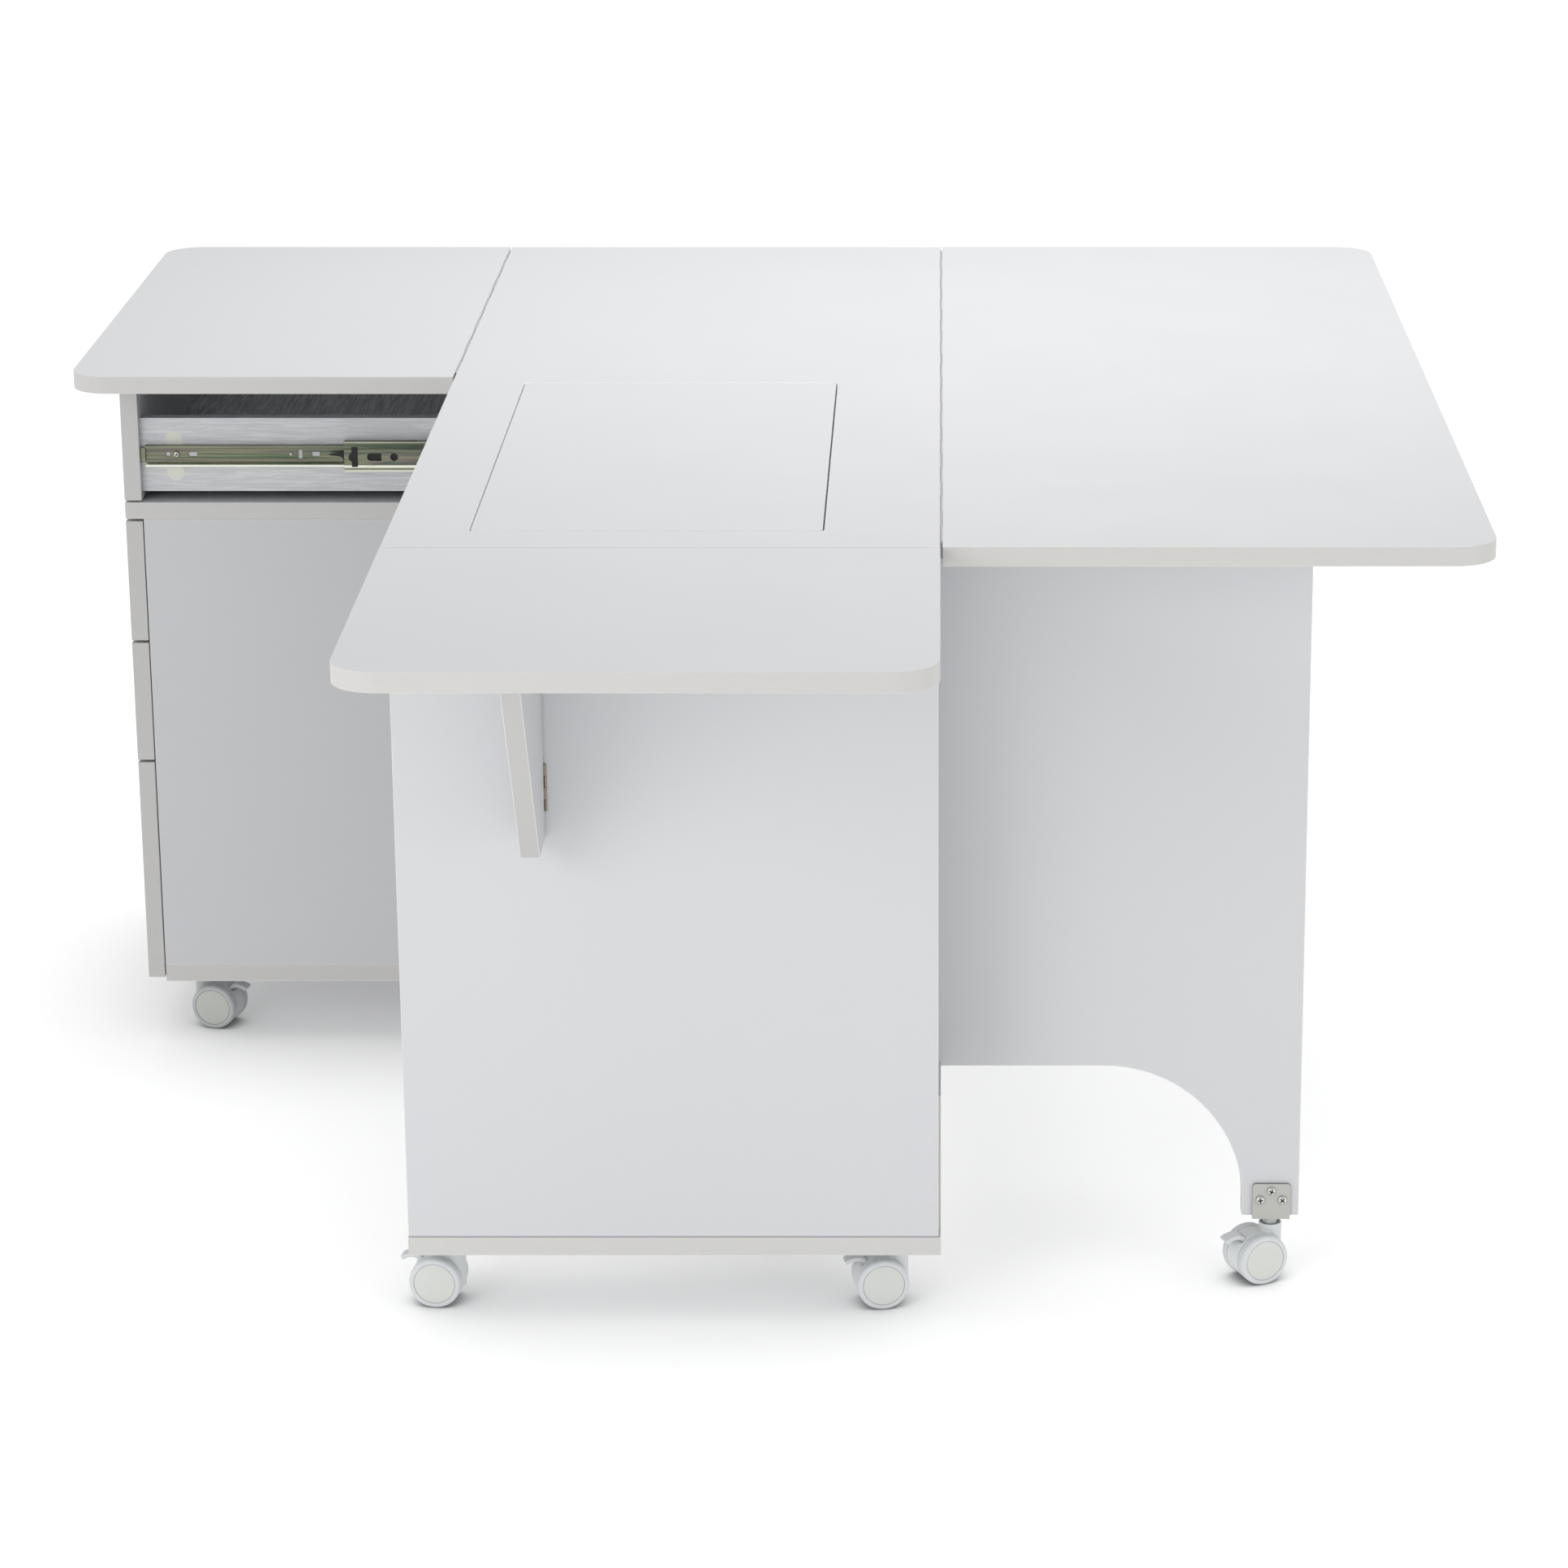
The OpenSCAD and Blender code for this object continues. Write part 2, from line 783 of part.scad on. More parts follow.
// Both sides and the back of the cart
module cart_walls() {
    place() color(shade) {
        board([cart_x, front_y, foot_top_z], [cart_x + cart_d, cart_in_y, cart_top_z]);
        board([cart_x, cart_in_y + cart_in_w, foot_top_z],
              [cart_x + cart_d, front_y + front_w, cart_top_z]);
        board([cart_back_x, cart_in_y, foot_top_z],
              [cart_back_x + board_t, cart_in_y + cart_in_w, cart_top_z]);
    }
}

module cart_base() {
    place() color(banding)
        board([cart_x, front_y, foot_z], [cart_x + cart_d, front_y + front_w, foot_top_z]);
}

module cart_caster_plates() {
    place() color(steel)
        for (x = cart_stem_x)
            for (y = cart_stem_y)
                caster_plate([x, y]);
}

// Angle runners under the sides of each cart drawer
module cart_runners() {
    place() color(steel)
        for (d = cart_drawers)
            translate([cart_x + 6, 0, d[2] - runner_slack])
                for (m = [0, 1])
                    translate([0, cart_in_y + m * cart_in_w, 0])
                        mirror([0, m, 0]) {
                            translate([0, 0, -sheet]) cube([runner_len, sheet, runner_h]);
                            translate([0, 0, -sheet]) cube([runner_len, runner_lip, sheet]);
                        }
}

// One cart drawer: its front board and its box
module cart_drawer(d) {
    board([front_x, front_y, d[0]], [front_in_x, front_y + front_w, d[0] + d[1]]);
    drawer_body(front_in_x, cart_box_y, d[2], cart_box_len, cart_box_w, d[3], d[2] + 9);
}

module cart_drawer_upper() {
    place() color(banding) cart_drawer(cart_drawers[0]);
}

module cart_drawer_middle() {
    place() color(banding) cart_drawer(cart_drawers[1]);
}

module cart_drawer_lower() {
    place() color(banding) cart_drawer(cart_drawers[2]);
}

module housing_near_left() housing_at(frame_stems[0], turn_near_left);
module housing_near_right() housing_at(frame_stems[1], turn_near_right);
module housing_far_left() housing_at(frame_stems[2], turn_far_left);
module housing_far_right() housing_at(frame_stems[3], turn_far_right);
module housing_gate() housing_at(gate_stem, turn_gate);
module housing_cart_front_near() housing_at(cart_fn, turn_cart);
module housing_cart_front_far() housing_at(cart_ff, turn_cart);
module housing_cart_rear_near() housing_at(cart_rn, turn_cart_rear_near);
module housing_cart_rear_far() housing_at(cart_rf, turn_cart_rear_far);
module wheels_near_left() wheels_at(frame_stems[0], turn_near_left);
module wheels_near_right() wheels_at(frame_stems[1], turn_near_right);
module wheels_far_left() wheels_at(frame_stems[2], turn_far_left);
module wheels_far_right() wheels_at(frame_stems[3], turn_far_right);
module wheels_gate() wheels_at(gate_stem, turn_gate);
module wheels_cart_front_near() wheels_at(cart_fn, turn_cart);
module wheels_cart_front_far() wheels_at(cart_ff, turn_cart);
module wheels_cart_rear_near() wheels_at(cart_rn, turn_cart_rear_near);
module wheels_cart_rear_far() wheels_at(cart_rf, turn_cart_rear_far);
module brake_near_left() brake_at(frame_stems[0], turn_near_left);
module brake_near_right() brake_at(frame_stems[1], turn_near_right);
module brake_gate() brake_at(gate_stem, turn_gate);
module brake_cart_front_near() brake_at(cart_fn, turn_cart);
module brake_cart_front_far() brake_at(cart_ff, turn_cart);

center_top();
near_end_panel();
far_end_panel();
divider_panel();
back_panel();
near_foot();
far_foot();
frame_caster_plates();
lift_guides();
drawer_outer_rails();
fixed_hinge_leaves();
lift_platform();
lift_carriage();
right_leaf();
right_leaf_hinges();
left_leaf();
left_leaf_hinges();
front_flap();
front_flap_hinges();
flap_brace();
brace_hinges();
gate_leg();
gate_hinges();
gate_bracket();
gate_screws();
drawer_front();
drawer_box();
drawer_inner_rails();
drawer_mid_rails();
cart_top();
cart_walls();
cart_base();
cart_caster_plates();
cart_runners();
cart_drawer_upper();
cart_drawer_middle();
cart_drawer_lower();
housing_near_left();
housing_near_right();
housing_far_left();
housing_far_right();
housing_gate();
housing_cart_front_near();
housing_cart_front_far();
housing_cart_rear_near();
housing_cart_rear_far();
wheels_near_left();
wheels_near_right();
wheels_far_left();
wheels_far_right();
wheels_gate();
wheels_cart_front_near();
wheels_cart_front_far();
wheels_cart_rear_near();
wheels_cart_rear_far();
brake_near_left();
brake_near_right();
brake_gate();
brake_cart_front_near();
brake_cart_front_far();
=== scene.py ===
"""Looks for the folding sewing table: materials, rounded arrises, casters, slides and fasteners."""
import json
import math

import bmesh
import bpy
from mathutils import Matrix, Vector


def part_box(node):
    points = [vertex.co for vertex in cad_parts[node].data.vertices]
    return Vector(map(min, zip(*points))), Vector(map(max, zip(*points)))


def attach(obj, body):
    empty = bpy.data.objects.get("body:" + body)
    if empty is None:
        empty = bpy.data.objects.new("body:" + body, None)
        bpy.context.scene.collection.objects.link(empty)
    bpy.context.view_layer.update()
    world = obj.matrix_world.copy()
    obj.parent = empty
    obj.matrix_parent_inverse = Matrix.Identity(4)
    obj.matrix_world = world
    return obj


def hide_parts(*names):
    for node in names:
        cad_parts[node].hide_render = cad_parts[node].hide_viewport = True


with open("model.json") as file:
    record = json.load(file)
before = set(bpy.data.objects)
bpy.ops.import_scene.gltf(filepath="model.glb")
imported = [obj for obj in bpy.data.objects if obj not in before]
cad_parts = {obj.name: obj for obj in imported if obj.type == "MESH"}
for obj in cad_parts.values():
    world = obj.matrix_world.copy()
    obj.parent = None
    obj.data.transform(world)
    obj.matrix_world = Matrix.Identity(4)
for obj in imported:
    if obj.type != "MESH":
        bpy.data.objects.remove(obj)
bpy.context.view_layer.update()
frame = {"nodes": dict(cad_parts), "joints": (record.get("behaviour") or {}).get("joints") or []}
nodes = frame["nodes"]
joints = {joint["name"]: joint for joint in frame["joints"]}

MM = 0.001

# Camera: the pose and lens that show the table from above its front edge, right of its middle
CAMERA_AT = (0.19907, -4.69589, 1.84685)
CAMERA_PITCH = 17.2121
CAMERA_LENS = 111.46
CAMERA_SHIFT = -0.0994

# Casters, in millimetres: the wheels trail to -x behind a swivel axis on z
TRAIL = 16
WHEEL_R = 25
WHEEL_T = 10
WHEEL_IN = 11.6
HOOD_R = 24.6
HOOD_HALF = 10.9
HOOD_OPEN_Z = 7
NECK_R = 11.0
NECK_TOP = 56
HUB_R = 20
LEVER_HALF = 6.6
CASTERS = {
    "near_left": "frame", "near_right": "frame", "far_left": "frame", "far_right": "frame",
    "gate": "gate",
    "cart_front_near": "cart", "cart_front_far": "cart",
    "cart_rear_near": "cart", "cart_rear_far": "cart",
}
BRAKED = ("near_left", "near_right", "gate", "cart_front_near", "cart_front_far")

# Fasteners and slides, in millimetres
PLATE_SCREW_REACH = 16.5
SWIVEL_PLATE_T = 2.5
BRACKET_SCREWS = ((0, 28.6), (-10.6, 19.6), (10.6, 19.6))
BRACKET_CORNER_R = 2.8
BRACKET_FLANGE_T = 2.8
NUT_R = 7.4
NUT_H = 7.2
NUT_TURN = 12
STICKER_R = 9.3
STICKER_T = 0.14
INNER_WEB_DEPTH = 6.0


# ---------------------------------------------------------------- material graphs

class Graph:
    """A Principled material and short calls that add and link its nodes."""

    def __init__(self, name, rough=0.4, metallic=0.0, specular=0.5):
        self.material = bpy.data.materials.new(name)
        self.material.use_nodes = True
        self.tree = self.material.node_tree
        self.shader = self.tree.nodes["Principled BSDF"]
        self.shader.inputs["Roughness"].default_value = rough
        self.shader.inputs["Metallic"].default_value = metallic
        self.shader.inputs["Specular IOR Level"].default_value = specular
        self.coords = self.tree.nodes.new("ShaderNodeTexCoord")

    def put(self, value, socket):
        if isinstance(value, bpy.types.NodeSocket):
            self.tree.links.new(value, socket)
        else:
            socket.default_value = value

    def math(self, operation, a, b=0.0, clamp=False):
        node = self.tree.nodes.new("ShaderNodeMath")
        node.operation = operation
        node.use_clamp = clamp
        self.put(a, node.inputs[0])
        self.put(b, node.inputs[1])
        return node.outputs[0]

    def spread(self, value, low, high, to_low=0.0, to_high=1.0):
        """value moved smoothly from low..high to to_low..to_high."""
        node = self.tree.nodes.new("ShaderNodeMapRange")
        node.interpolation_type = "SMOOTHSTEP"
        self.put(value, node.inputs["Value"])
        for name, number in (("From Min", low), ("From Max", high),
                             ("To Min", to_low), ("To Max", to_high)):
            node.inputs[name].default_value = number
        return node.outputs["Result"]

    def mix(self, factor, a, b):
        node = self.tree.nodes.new("ShaderNodeMix")
        node.data_type = "RGBA"
        self.put(factor, node.inputs["Factor"])
        self.put(rgba(a), node.inputs["A"])
        self.put(rgba(b), node.inputs["B"])
        return node.outputs["Result"]

    def stretched(self, stretch):
        """Object coordinates scaled along each axis."""
        node = self.tree.nodes.new("ShaderNodeMapping")
        node.inputs["Scale"].default_value = stretch
        self.tree.links.new(self.coords.outputs["Object"], node.inputs["Vector"])
        return node.outputs["Vector"]

    def noise(self, scale, stretch=(1, 1, 1), detail=3.0, distortion=0.0):
        node = self.tree.nodes.new("ShaderNodeTexNoise")
        node.inputs["Scale"].default_value = scale
        node.inputs["Detail"].default_value = detail
        node.inputs["Distortion"].default_value = distortion
        self.tree.links.new(self.stretched(stretch), node.inputs["Vector"])
        return node.outputs["Fac"]

    def part(self, output, axis):
        """One component of an object-space coordinate output: Normal or Object."""
        node = self.tree.nodes.new("ShaderNodeSeparateXYZ")
        self.tree.links.new(self.coords.outputs[output], node.inputs[0])
        return node.outputs[axis]

    def facing(self, axis):
        """1 where the surface faces along the axis, 0 where it is square to it."""
        return self.math("ABSOLUTE", self.part("Normal", axis))

    def openness(self, distance):
        """How much of the sky near a point is open, within distance metres."""
        node = self.tree.nodes.new("ShaderNodeAmbientOcclusion")
        node.inputs["Distance"].default_value = distance
        node.samples = 8
        return node.outputs["AO"]

    def band(self, value, low, high, soft):
        """1 between low and high, fading over soft beyond each end."""
        return self.math("MULTIPLY", self.spread(value, low - soft, low),
                         self.spread(value, high + soft, high))

    def ramp(self, factor, stops):
        node = self.tree.nodes.new("ShaderNodeValToRGB")
        elements = node.color_ramp.elements
        while len(elements) < len(stops):
            elements.new(0.5)
        for element, (place, colour) in zip(elements, stops):
            element.position = place
            element.color = rgba(colour)
        self.put(factor, node.inputs["Fac"])
        return node.outputs["Color"]

    def colour(self, value):
        self.put(rgba(value), self.shader.inputs["Base Color"])

    def rough(self, value):
        self.put(value, self.shader.inputs["Roughness"])

    def bump(self, height, strength, depth):
        node = self.tree.nodes.new("ShaderNodeBump")
        node.inputs["Strength"].default_value = strength
        node.inputs["Distance"].default_value = depth
        self.put(height, node.inputs["Height"])
        self.tree.links.new(node.outputs["Normal"], self.shader.inputs["Normal"])


def rgba(value):
    return (*value, 1.0) if isinstance(value, tuple) and len(value) == 3 else value


def shaded(colour, factor):
    return tuple(channel * factor for channel in colour)


FACE = (0.622, 0.630, 0.646)
# Painted shade: darker copies of FACE for the cross panel and brace, and for the cart's sides
SIDE_SHADED_FACE = (0.575, 0.580, 0.590)
CART_SHADED_FACE = (0.545, 0.550, 0.560)
BAND = (0.600, 0.594, 0.578)
# Painted highlight: the pale colour painted on rounded arrises
ARRIS_HIGHLIGHT = (0.76, 0.75, 0.73)
HOLE_EDGE_HIGHLIGHT = (0.90, 0.89, 0.87)
GRAINED = (0.60, 0.61, 0.63)
# Painted shadow: the dark line where an end panel meets its foot board
JOINT_SHADOW_LINE = (0.24, 0.25, 0.27)
# Painted shade: the grey that hinges in the top's seams are painted, standing in for the seam's shade
SEAM_SHADE_GREY = (0.47, 0.465, 0.46)


def pebble(graph):
    """The fine satin texture that melamine is pressed with."""
    return graph.math("ADD", graph.noise(2600, detail=2.0),
                      graph.math("MULTIPLY", graph.noise(700, detail=2.0), 0.6))


def melamine(name, face, thin_axis, band=BAND, shadow_line_z=None, hole=None):
    """Satin melamine on broad faces, banding on thin ones, and a pale painted highlight along the
    arrises.
    """
    graph = Graph(name, rough=0.42)
    cloud = graph.noise(3.0, detail=4.0)
    speck = graph.noise(1500, detail=2.0)
    broad = graph.mix(cloud, shaded(face, 0.985), shaded(face, 1.01))
    broad = graph.mix(graph.spread(speck, 0.55, 0.75, 0.0, 0.12), broad, shaded(face, 0.90))
    streak = graph.noise(60, stretch=(1, 1, 6), detail=3.0)
    thin = graph.mix(streak, shaded(band, 0.97), shaded(band, 1.02))
    # Painted highlight: the banding round the hole is painted far paler than other banding
    if hole:
        across = graph.band(graph.part("Object", 0), hole[0].x, hole[1].x, MM)
        along = graph.band(graph.part("Object", 1), hole[0].y, hole[1].y, MM)
        inside = graph.math("MULTIPLY", across, along)
        thin = graph.mix(inside, thin, HOLE_EDGE_HIGHLIGHT)
    if thin_axis == "xy":
        facing = graph.math("SUBTRACT", 1.0, graph.facing(2))
    else:
        facing = graph.facing(thin_axis)
    surface = graph.mix(graph.spread(facing, 0.80, 0.92), thin, broad)
    # Painted highlight: the rounded arrises between broad and thin faces are painted pale
    arris = graph.math("MULTIPLY", graph.spread(facing, 0.10, 0.40),
                       graph.spread(facing, 0.995, 0.90))
    surface = graph.mix(graph.math("MULTIPLY", arris, 0.75), surface, ARRIS_HIGHLIGHT)
    # Painted shadow: a dark line along the lowest 2 mm of the panel, over its foot board
    if shadow_line_z is not None:
        near = graph.spread(graph.part("Object", 2), shadow_line_z + 2.2 * MM, shadow_line_z + 1.2 * MM)
        surface = graph.mix(graph.math("MULTIPLY", near, 0.7), surface, JOINT_SHADOW_LINE)
    graph.colour(surface)
    graph.rough(graph.spread(graph.noise(9.0), 0.3, 0.7, 0.38, 0.48))
    graph.bump(pebble(graph), 0.06, 0.0003)
    return graph.material


def grained(name, edge_z, colour=GRAINED):
    """Melamine embossed with a fine wood grain: along x on the sides, along y on flat faces."""
    graph = Graph(name, rough=0.45)
    upright = graph.spread(graph.facing(1), 0.4, 0.6)
    along_x = graph.noise(1.0, stretch=(20, 9, 620), detail=3.0, distortion=1.0)
    along_y = graph.noise(1.0, stretch=(330, 16, 9), detail=5.0, distortion=1.1)
    grain = graph.math("ADD", graph.math("MULTIPLY", upright, along_x),
                       graph.math("MULTIPLY", graph.math("SUBTRACT", 1.0, upright), along_y))
    line = graph.spread(grain, 0.40, 0.60)
    surface = graph.mix(line, shaded(colour, 0.90), shaded(colour, 1.06))
    flat = graph.spread(graph.facing(2), 0.6, 0.8)
    dark = graph.mix(line, shaded(colour, 0.72), shaded(colour, 1.15))
    # Painted shade: the box's top edges are painted at about half its colour
    edge = graph.math("GREATER_THAN", graph.part("Object", 2), edge_z - 1.2 * MM)
    dark = graph.mix(edge, dark, shaded(colour, 0.52))
    graph.colour(graph.mix(flat, surface, dark))
    graph.rough(graph.spread(grain, 0.3, 0.7, 0.55, 0.40))
    graph.bump(line, 0.40, 0.0004)
    return graph.material


def cart_drawer_look(name, split_x):
    """Banded melamine on the front board, and grained melamine on the box behind it."""
    graph = Graph(name, rough=0.44)
    front = graph.math("LESS_THAN", graph.part("Object", 0), split_x)
    facing = graph.facing(0)
    cloud = graph.noise(3.0, detail=4.0)
    broad = graph.mix(cloud, shaded(FACE, 0.98), FACE)
    streak = graph.noise(60, stretch=(1, 1, 6), detail=3.0)
    # Painted shade: the front board's banding is painted darker than BAND
    thin = graph.mix(streak, shaded(BAND, 0.82), shaded(BAND, 0.86))
    board = graph.mix(graph.spread(facing, 0.80, 0.92), thin, broad)
    grain = graph.noise(1.0, stretch=(9, 9, 520), detail=5.0, distortion=0.9)
    line = graph.spread(grain, 0.40, 0.60)
    box = graph.mix(line, shaded(GRAINED, 0.90), shaded(GRAINED, 1.05))
    graph.colour(graph.mix(front, box, board))
    height = graph.mix(front, line, graph.math("MULTIPLY", pebble(graph), 0.15))
    graph.bump(height, 0.25, 0.0004)
    return graph.material


def hinge_look(name, low_z, flap_y, steel):
    """Plain steel on upright hinges; those in the top's seams are painted grey as painted seam shade,
    paler at the flap.
    """
    graph = Graph(name, rough=0.40)
    in_seam = graph.math("GREATER_THAN", graph.part("Object", 2), low_z)
    at_flap = graph.math("LESS_THAN", graph.part("Object", 1), flap_y)
    streak = graph.noise(30, stretch=(1, 1, 20), detail=4.0)
    bare = graph.mix(streak, shaded(steel, 0.80), shaded(steel, 1.10))
    # Painted seam shade: grey in the seams, and the board's face colour at the flap
    paint = graph.mix(at_flap, SEAM_SHADE_GREY, FACE)
    graph.colour(graph.mix(in_seam, bare, paint))
    graph.put(graph.math("SUBTRACT", 0.8, in_seam, clamp=True), graph.shader.inputs["Metallic"])
    graph.bump(streak, 0.04, 0.0002)
    return graph.material


def metal(name, colour, rough, along=(1, 1, 40)):
    """Steel with faint rolling streaks and smudges."""
    graph = Graph(name, rough=rough, metallic=1.0)
    streak = graph.noise(30, stretch=along, detail=4.0)
    graph.colour(graph.mix(streak, shaded(colour, 0.86), shaded(colour, 1.04)))
    graph.rough(graph.math("ADD", graph.spread(streak, 0.2, 0.8, rough - 0.06, rough + 0.08),
                           graph.spread(graph.noise(120), 0.4, 0.7, 0.0, 0.06)))
    graph.bump(streak, 0.04, 0.0002)
    return graph.material


def yellow_zinc(name, mid_z=None, tube_x=None):
    """Passivated zinc: long streaks of olive, yellow and faint pink, with painted highlights on each
    lower lip and along the upper edge.
    """
    graph = Graph(name, rough=0.28, metallic=1.0)
    streak = graph.noise(14, stretch=(0.30, 1, 16), detail=5.0, distortion=0.5)
    surface = graph.ramp(streak, [
        (0.26, (0.05, 0.06, 0.05)), (0.40, (0.10, 0.12, 0.082)), (0.50, (0.20, 0.21, 0.14)),
        (0.57, (0.15, 0.13, 0.12)), (0.66, (0.09, 0.125, 0.10)), (0.82, (0.22, 0.24, 0.19)),
    ])
    if mid_z is not None:
        z = graph.part("Object", 2)
        # Painted highlight: pale bands on the lower lip of the inner and the middle member
        inner_lip = graph.band(z, mid_z - 11.6 * MM, mid_z - 9.2 * MM, 0.4 * MM)
        mid_lip = graph.band(z, mid_z - 16.8 * MM, mid_z - 14.2 * MM, 0.8 * MM)
        lip_highlights = graph.math("MAXIMUM", inner_lip, graph.math("MULTIPLY", mid_lip, 0.75))
        surface = graph.mix(graph.math("MULTIPLY", lip_highlights, 0.85), surface, (0.74, 0.75, 0.67))
        # Painted highlight: a pale line along the upper edge
        edge = graph.band(z, mid_z + 15.4 * MM, mid_z + 15.9 * MM, 0.3 * MM)
        surface = graph.mix(graph.math("MULTIPLY", edge, 0.6), surface, (0.60, 0.61, 0.52))
    if tube_x is not None:
        tube = graph.math("LESS_THAN", graph.part("Object", 0), tube_x)
        surface = graph.mix(tube, surface, (0.03, 0.03, 0.032))
    graph.colour(surface)
    graph.rough(graph.spread(graph.noise(40, stretch=(0.2, 1, 8)), 0.3, 0.7, 0.22, 0.38))
    graph.bump(streak, 0.05, 0.0002)
    return graph.material


def screw_look(name, colour):
    """Bright steel with painted shade in the recess, near the head's axis and below its crown, and a
    painted shadow round the head's base.
    """
    graph = Graph(name, rough=0.30, metallic=1.0)
    x, y, z = (graph.part("Object", axis) for axis in range(3))
    reach = graph.math("SQRT", graph.math("ADD", graph.math("MULTIPLY", x, x),
                                          graph.math("MULTIPLY", y, y)))
    # Painted shade: the recess is painted near black
    inside = graph.math("MULTIPLY", graph.math("LESS_THAN", reach, 2.75 * MM),
                        graph.math("LESS_THAN", z, 2.3 * MM))
    # Painted shadow: the lowest part of the head is painted dark
    rim = graph.spread(z, 0.7 * MM, 0.25 * MM)
    steel = graph.mix(graph.noise(700), shaded(colour, 0.9), shaded(colour, 1.05))
    steel = graph.mix(graph.math("MULTIPLY", rim, 0.7), steel, (0.12, 0.12, 0.11))
    graph.colour(graph.mix(inside, steel, (0.03, 0.03, 0.028)))
    graph.rough(graph.spread(graph.noise(400), 0.3, 0.7, 0.26, 0.38))
    return graph.material


def painted(name, colour, rough=0.45, grain=900, side=None):
    """Powder paint or moulded plastic with a fine even texture and slight clouding; side, if given, is
    painted shade on faces square to z.
    """
    graph = Graph(name, rough=rough)
    cloud = graph.noise(45, detail=3.0)
    surface = graph.mix(cloud, shaded(colour, 0.965), shaded(colour, 1.02))
    if side:
        # Painted shade: faces square to z are painted the side colour
        surface = graph.mix(graph.spread(graph.facing(2), 0.45, 0.25), surface, side)
    graph.colour(surface)
    graph.rough(graph.spread(cloud, 0.3, 0.7, rough - 0.05, rough + 0.06))
    graph.bump(graph.noise(grain, detail=2.0), 0.10, 0.0002)
    return graph.material


def floor_look():
    """A pale lit floor whose own light dies away beside and under the object."""
    graph = Graph("studio_floor", rough=0.9, specular=0.0)
    pale = graph.mix(graph.noise(2.0), (0.77, 0.77, 0.77), (0.79, 0.79, 0.79))
    broad = graph.openness(0.32)
    contact_shadow = graph.openness(0.035)
    light = graph.math("MULTIPLY", graph.spread(broad, 0.25, 0.95, 0.17, 0.48),
                       graph.spread(contact_shadow, 0.15, 0.85, 0.15, 1.0))
    # Painted contact shadow: the floor's colour darkens close to the object
    graph.colour(graph.mix(graph.spread(contact_shadow, 0.05, 0.70), (0.30, 0.30, 0.30), pale))
    graph.shader.inputs["Emission Color"].default_value = (1, 1, 1, 1)
    graph.put(light, graph.shader.inputs["Emission Strength"])
    return graph.material


FRONT_IN_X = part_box("drawer_front")[1].x
SLIDE_Z = (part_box("drawer_inner_rails")[0].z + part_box("drawer_inner_rails")[1].z) / 2
PANEL_LOW_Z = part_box("near_end_panel")[0].z
# Painted shade: one melamine is painted at several brightnesses by where each board sits, with darker
# faces on the gate, feet, cart, cross panel and brace, and darker banding on the tops, brace, drawer
# front and cart
LOOK = {
    "top": melamine("melamine_top_face", FACE, 2, band=shaded(BAND, 0.95)),
    "center": melamine("melamine_center_top", FACE, 2, band=shaded(BAND, 0.95),
                       hole=[corner + Vector((side * 2 * MM, side * 2 * MM, 0)) for side, corner
                             in zip((-1, 1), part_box("lift_platform"))]),
    # Painted highlight: the platform's banding is painted pale
    "platform": melamine("melamine_platform", FACE, 2, band=HOLE_EDGE_HIGHLIGHT),
    "panel_y": melamine("melamine_end_panel", FACE, 1, shadow_line_z=PANEL_LOW_Z),
    "gate": melamine("melamine_gate_leg", shaded(FACE, 0.98), 1),
    "panel_x": melamine("melamine_cross_panel", SIDE_SHADED_FACE, 0),
    "brace": melamine("melamine_brace", SIDE_SHADED_FACE, 0, band=shaded(BAND, 0.80)),
    "front_x": melamine("melamine_drawer_front", FACE, 0, band=shaded(BAND, 0.87)),
    "cart_side": melamine("melamine_cart_side", CART_SHADED_FACE, "xy", band=shaded(BAND, 0.88)),
    "cart_top": melamine("melamine_cart_top", shaded(FACE, 0.94), 2, band=shaded(BAND, 0.90)),
    "foot": melamine("banded_foot", shaded(FACE, 0.97), 2),
    "cart_base": melamine("banded_cart_base", shaded(FACE, 0.94), 2, band=shaded(BAND, 0.89)),
    "grained": grained("grained_melamine_sides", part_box("drawer_box")[1].z),
    "cart_drawer": cart_drawer_look("cart_drawer_boards", FRONT_IN_X + 0.0004),
    "steel": metal("bright_steel_sheet", (0.72, 0.72, 0.70), 0.30),
    "screw": screw_look("bright_screw_steel", (0.62, 0.63, 0.60)),
    "hinge": hinge_look("hinge_metal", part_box("right_leaf")[0].z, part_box("front_flap")[1].y + 0.003,
                        (0.30, 0.27, 0.22)),
    "zinc": yellow_zinc("zinc_slide", mid_z=SLIDE_Z),
    "guide": yellow_zinc("zinc_lift_guides", tube_x=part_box("lift_guides")[1].x - 0.02),
    # Painted shade: the angle plate's sides are painted near black
    "plate": painted("bracket_paint", (0.48, 0.485, 0.45), 0.40, side=(0.14, 0.14, 0.13)),
    "nut": painted("lock_nut_zinc", (0.56, 0.59, 0.575), 0.30),
    "black": painted("black_plastic", (0.006, 0.006, 0.007), 0.65),
    "shell": painted("caster_shell_plastic", (0.69, 0.71, 0.71), 0.36, grain=1400),
    "tread": painted("caster_tread_plastic", (0.67, 0.69, 0.705), 0.32, grain=1800),
    "hub": painted("caster_hub_plastic", (0.665, 0.685, 0.65), 0.45, grain=1400),
    # Painted shade: the cart's casters are the same plastics painted darker
    "cart_shell": painted("cart_caster_shell_painted_shade", (0.50, 0.515, 0.515), 0.36, grain=1400),
    "cart_tread": painted("cart_caster_tread_painted_shade", (0.46, 0.475, 0.485), 0.32, grain=1800),
    "cart_hub": painted("cart_caster_hub_painted_shade", (0.50, 0.525, 0.48), 0.45, grain=1400),
    "cap": painted("cover_sticker", (0.665, 0.672, 0.60), 0.60),
    "recess": painted("recess_shadow_blue", (0.26, 0.29, 0.32), 0.6),
}


# ---------------------------------------------------------------- CAD nodes

